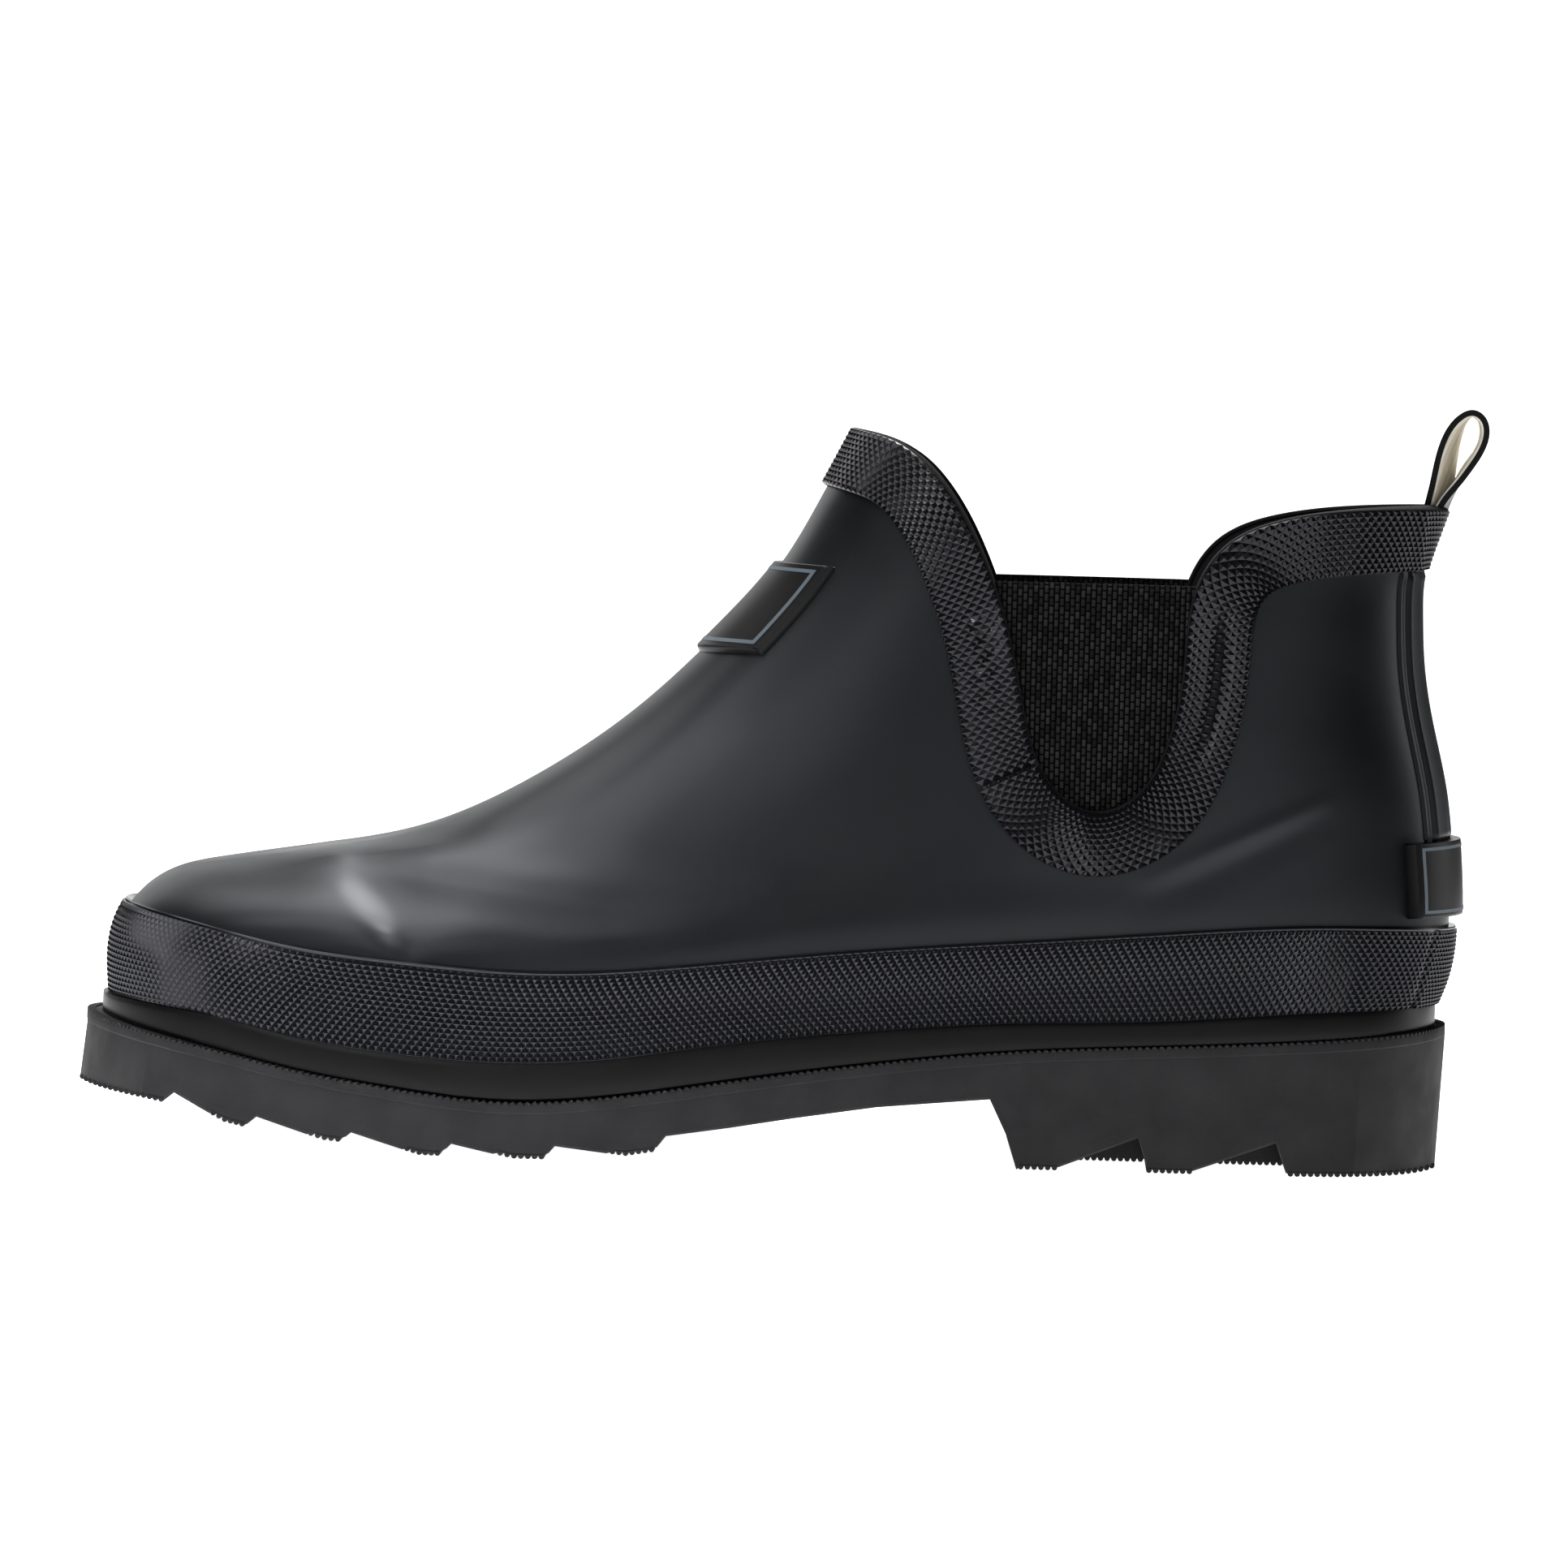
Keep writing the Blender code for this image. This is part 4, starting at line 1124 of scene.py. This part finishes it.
def rim_line(around, inset, drop):
    """Line round the ledge, a distance inside its outer edge and below its top."""
    share = share_of(around)
    x = LEDGE_PLAN.toe + share * (LEDGE_PLAN.heel - LEDGE_PLAN.toe)
    side = -np.sign(np.sin(around))
    edge = xyz(x, centre_line(x) + side * plan_width(x, LEDGE_PLAN), ledge(x) - drop)
    ahead = np.roll(edge[:-1], -1, axis=0) - np.roll(edge[:-1], 1, axis=0)
    inward = unit(xyz(-ahead[:, 1], ahead[:, 0], 0.0))
    inward = np.concatenate([inward, inward[:1]])
    return edge - inset * inward * np.sign(dot(inward, edge))[:, None]


def make_rim(rubber):
    """Rim of the ledge with rounded corners."""
    around = np.linspace(0, 2 * math.pi, 361)
    depth = 9.0
    profile = ((depth, 0.0), (0.5, 0.0), (0.12, 0.15), (0.0, 0.5), (0.0, LEDGE_RIM - 0.3),
               (0.25, LEDGE_RIM), (depth, LEDGE_RIM))
    lines = [rim_line(around, inset, drop)[:-1] for inset, drop in profile]
    return loft("rim", np.stack(lines, axis=1), [rubber], closed=True)


def notched(width):
    """Half width of the core of the heel, inside its notches."""
    return np.maximum(width - NOTCH_DEPTH, width * NOTCH_CORE)


def make_tread(rubber, edge, middle, spans):
    """Body of the outsole with its ledge, saw-tooth bars, waist and notched heel."""
    reach = TREAD_PLAN.heel - TREAD_PLAN.toe
    corners = (edge[1:-1, 0] - TREAD_PLAN.toe) / reach
    close = CORNER_STEP / reach
    share = np.unique(np.concatenate([plan_stations(260), corners, corners + close, corners - close]))
    tread_x = TREAD_PLAN.toe + share * reach
    ledge_x = LEDGE_PLAN.toe + share * (LEDGE_PLAN.heel - LEDGE_PLAN.toe)
    tread_y, ledge_y = centre_line(tread_x), centre_line(ledge_x)
    tread_width, ledge_width = plan_width(tread_x, TREAD_PLAN), plan_width(ledge_x, LEDGE_PLAN)
    top = ledge(ledge_x)
    barred = sum(((tread_x > start - BAR_MARGIN) & (tread_x < end + BAR_MARGIN)).astype(float)
                 for start, end, _ in spans)
    low = height_on(edge, tread_x) + BAR_HEIGHT * barred
    core = height_on(middle, tread_x) + BAR_HEIGHT * barred
    bevel = np.minimum(0.6, tread_width * 0.3)
    half = (
        (ledge_x, ledge_y, ledge_width - bevel, top - 0.5 * LEDGE_RIM),
        (ledge_x, ledge_y, ledge_width - bevel, top - LEDGE_RIM - LEDGE_STEP),
        (tread_x, tread_y, tread_width, low + 0.5),
        (tread_x, tread_y, tread_width - 0.7 * bevel, low),
        (tread_x, tread_y, notched(tread_width), low),
        (tread_x, tread_y, notched(tread_width), core))
    outer = [xyz(x, y - width, z) for x, y, width, z in half]
    inner = [xyz(x, y + width, z) for x, y, width, z in half]
    return loft("lugged_outsole", np.stack(outer + inner[::-1], axis=1), [rubber])


def make_bars(rubber, tree, bar, edge, middle, spans):
    """Serrations across the tread."""
    reach = 0.2
    places, turns, sizes = [], [], []
    for start, end, line in spans:
        x = np.linspace(start, end, max(2, round((end - start) / BAR_PITCH) + 1))
        rise = height_on(line, x + reach) - height_on(line, x - reach)
        width = plan_width(x, TREAD_PLAN)
        if line is middle:
            width = np.where(height_on(edge, x) < 0.2, width, notched(width))
        places.append(xyz(x, centre_line(x), height_on(line, x) + BAR_HEIGHT))
        turns.append(xyz(0.0, -np.arctan2(rise, 2 * reach), 0.0))
        sizes.append(xyz(BAR_PITCH * BAR_SHARE, 2 * width, BAR_HEIGHT))
    placed = (np.concatenate(rows) for rows in (places, turns, sizes))
    return repeat("tread_bars", tree, *placed, bar, rubber)


def make_beads(rubber, tree, bar):
    """Short beads side by side on the ledge."""
    outline = rim_line(np.linspace(0, 2 * math.pi, 4000), BEAD_INSET, 0.0)
    length = lengths(outline)
    count = round(length[-1] / BEAD_PITCH)
    at = np.linspace(0, length[-1], count, endpoint=False)
    spots = between(at, length, outline)
    ahead = between(at + 0.5, length, outline, period=length[-1]) - spots
    heading = np.arctan2(ahead[:, 1], ahead[:, 0])
    sizes = np.tile(BEAD_SIZE, (count, 1))
    return repeat("ledge_beads", tree, spots, xyz(math.pi, 0.0, heading), sizes, bar, rubber)


def make_outsole(rubber, tree):
    """Outsole from its body, the rim of its ledge, its serrations and its beads."""
    edge, middle = tread_profile()
    spans = [(tooth.land_x - 2.5, tooth.end_x - 0.3, edge) for tooth in TEETH[1:]]
    spans.append((TEETH[0].root_x + 1.5, TEETH[0].end_x - 0.3, edge))
    spans.append((BREAST[1].x + 0.9, TREAD_PLAN.heel - 1.0, middle))
    sole = make_tread(rubber, edge, middle, spans)
    bar = bar_shape(rubber)
    bars = make_bars(rubber, tree, bar, edge, middle, spans)
    rim = make_rim(rubber)
    beads = make_beads(rubber, tree, bar)
    bpy.data.objects.remove(bar)
    return dress(join(sole, rim, bars, beads), "sole_rubber", "outsole")


def make_pull_loop(rubber, cotton):
    """Strap of rubber outside and cotton inside the loop."""
    share = np.linspace(0, 1, 140)
    near, far = path_through(LOOP_NEAR)(share), path_through(LOOP_FAR)(share)
    seam = LOOP_RUBBER - LOOP_OUT
    layers = (("strap_rubber", -LOOP_OUT, seam, 0.0, rubber),
              ("strap_cotton", seam - 0.02, seam + LOOP_COTTON, 0.2, cotton))
    made = []
    for name, low, high, inset, finish in layers:
        rings = []
        for out, steps in ((low, np.linspace(-1, 1, 7)), (high, np.linspace(1, -1, 7))):
            for step in steps:
                path = near * (1 - step) / 2 + far * (1 + step) / 2
                along = unit(np.gradient(path, axis=0))
                inward = np.stack([along[:, 1], -along[:, 0]], axis=-1)
                rings.append(np.insert(path + out * inward, 1, step * (LOOP_HALF_WIDTH - inset), axis=1))
        made.append(loft(name, np.stack(rings, axis=1), [finish]))
    dress(made[0], "strap", "pull_loop")
    dress(made[1], "strap")


def strip_relief(u, v):
    """Heel strip: thin flanges, a groove, two raised bands and a low middle; its ends tuck under."""
    out = np.abs(u)
    edge = np.clip((1 - out) / 0.02, 0, 1)
    band = soft_step(0.83 - out, 0.008) - 0.45 * soft_step(0.47 - out, 0.02)
    groove = swell(out - 0.85, 0.012) + 0.6 * swell(out - 0.93, 0.01)
    tuck = np.clip(np.minimum(v, 1 - v) / 0.03, 0.3, 1)
    return edge * tuck * (0.55 + 0.8 * band - 0.25 * groove) + 0.02


def bordered(lift, reach):
    """Relief of a plate with rounded edges and a step round its border."""
    def relief(u, v):
        out = np.minimum((1 - np.abs(u)) * reach, np.minimum(v, 1 - v) * 2 * reach)
        edge = np.sqrt(np.clip(1 - (1 - np.clip(out / 0.35, 0, 1)) ** 2, 0, 1))
        return 0.05 + (lift - 0.35) * edge + 0.3 * soft_step(out - 0.75, 0.05)
    return relief


def add_camera():
    """Camera at the photograph's angle, a little behind square and rolled so the heel is low."""
    distance, height, aim_height = 1.5, 0.1475, 0.074
    yaw, roll = math.radians(1.8), math.radians(1.7)
    pixels, sensor, pixels_per_metre = 1932, 36.0, 6000.0
    shift = Vector(-MIDDLE * MM)
    place = Vector((distance * math.sin(yaw), -distance * math.cos(yaw), height)) + shift
    aim = Vector((0, 0, aim_height)) + shift
    forward = (aim - place).normalized()
    right = forward.cross(Vector((0, 0, 1))).normalized()
    up = right.cross(forward)
    right, up = right * math.cos(roll) + up * math.sin(roll), up * math.cos(roll) - right * math.sin(roll)
    data = bpy.data.cameras.new("camera")
    data.sensor_width = sensor
    data.lens = sensor * pixels_per_metre * (aim - place).length / pixels
    data.clip_end = 50
    camera = show("camera", data)
    turn = Matrix((right, up, -forward)).transposed().to_4x4()
    camera.matrix_world = Matrix.Translation(place) @ turn
    bpy.context.scene.camera = camera


def add_light(box):
    """Soft box that faces a point."""
    data = bpy.data.lights.new(box.name, "AREA")
    data.shape = "RECTANGLE"
    data.spread = math.radians(box.spread)
    data.size, data.size_y = box.width, box.height
    data.energy = box.power
    light = show(box.name, data)
    light.location = box.place
    light.rotation_euler = (Vector(box.aim) - Vector(box.place)).to_track_quat("-Z", "Y").to_euler()


def add_stage():
    """Pale floor that curves up into a pale backdrop, and the soft boxes."""
    front, back, radius, top, half_width = -650.0, 1500.0, 700.0, 2400.0, 500.0
    profile = [(front, 0.0)]
    for a in np.linspace(0, math.pi / 2, 12):
        profile.append((back + radius * math.sin(a), radius - radius * math.cos(a)))
    profile.append((back + radius, top))
    points = np.array([[(x, y, z) for y, z in profile] for x in (-half_width, half_width)])
    material, tree, shader, place = principled("white studio paper", {
        "Base Color": srgb("#f4f4f4"), "Emission Color": srgb("#ffffff")})
    tree.links.new(vary(tree, place, 400.0, 0.8, 0.9), shader.inputs["Roughness"])
    # Painted glow: the paper emits light of its own along the middle, falling off to both sides, so that
    # the sides reflect less of it
    apart = add(tree, "ShaderNodeSeparateXYZ", {"Vector": place})
    off_middle = add(tree, "ShaderNodeMath", {0: apart.outputs["X"]}, operation="ABSOLUTE")
    glow = add(tree, "ShaderNodeMapRange", {
        "Value": off_middle.outputs["Value"], "From Min": 0.35, "From Max": 0.7,
        "To Min": 1.0, "To Max": 0.12}, interpolation_type="SMOOTHSTEP")
    tree.links.new(glow.outputs["Result"], shader.inputs["Emission Strength"])
    floor = piece("floor", points, grid_faces(2, len(profile)), [material], recalculate=False)

    world = bpy.data.worlds.new("studio")
    world.use_nodes = True
    # The room is dark to the boot, and plain white where a view looks past the paper
    room = world.node_tree
    sky = room.nodes["Background"]
    sky.inputs["Color"].default_value = srgb("#eef2f5")
    straight = add(room, "ShaderNodeLightPath").outputs["Is Camera Ray"]
    strength = add(room, "ShaderNodeMapRange", {"Value": straight, "To Min": 0.02, "To Max": 1.2})
    room.links.new(strength.outputs["Result"], sky.inputs["Strength"])
    bpy.context.scene.world = world
    for box in BOXES:
        add_light(box)
    bpy.context.scene.view_settings.view_transform = "Standard"


def main():
    upper_finish, band_finish, strip_finish = satin_rubber(), band_rubber(), smooth_rubber()
    sole_finish, elastic, ink = sole_rubber(), woven_elastic(), grey_ink()
    knurl, copies = knurl_tree(), repeat_tree()
    make_upper(upper_finish, knit_lining())
    make_foxing(band_finish, knurl)
    make_tapes(tape_rubber(), cut_rubber(), knurl)
    make_gusset("elastic_lateral", "gusset_lateral", -1, elastic)
    make_gusset("elastic_medial", "gusset_medial", 1, elastic)
    make_midsole(strip_finish)
    make_insole(felt_footbed())
    make_outsole(sole_finish, copies)
    make_pull_loop(strip_finish, cream_cotton())
    make_plate("heel_strip", "back_strip", STRIP, strip_relief, upper_finish, columns=161)
    make_plate("heel_plate", "heel_patch", PATCH, bordered(PATCH_LIFT, PATCH_REACH), strip_finish)
    make_plate("instep_plate", "instep_badge", BADGE, bordered(BADGE_LIFT, BADGE_REACH), strip_finish)
    make_border("heel_plate_border", PATCH, PATCH_LIFT, PATCH_BORDER, ink)
    make_border("instep_plate_border", BADGE, BADGE_LIFT, BADGE_BORDER, ink)
    add_camera()
    add_stage()


main()
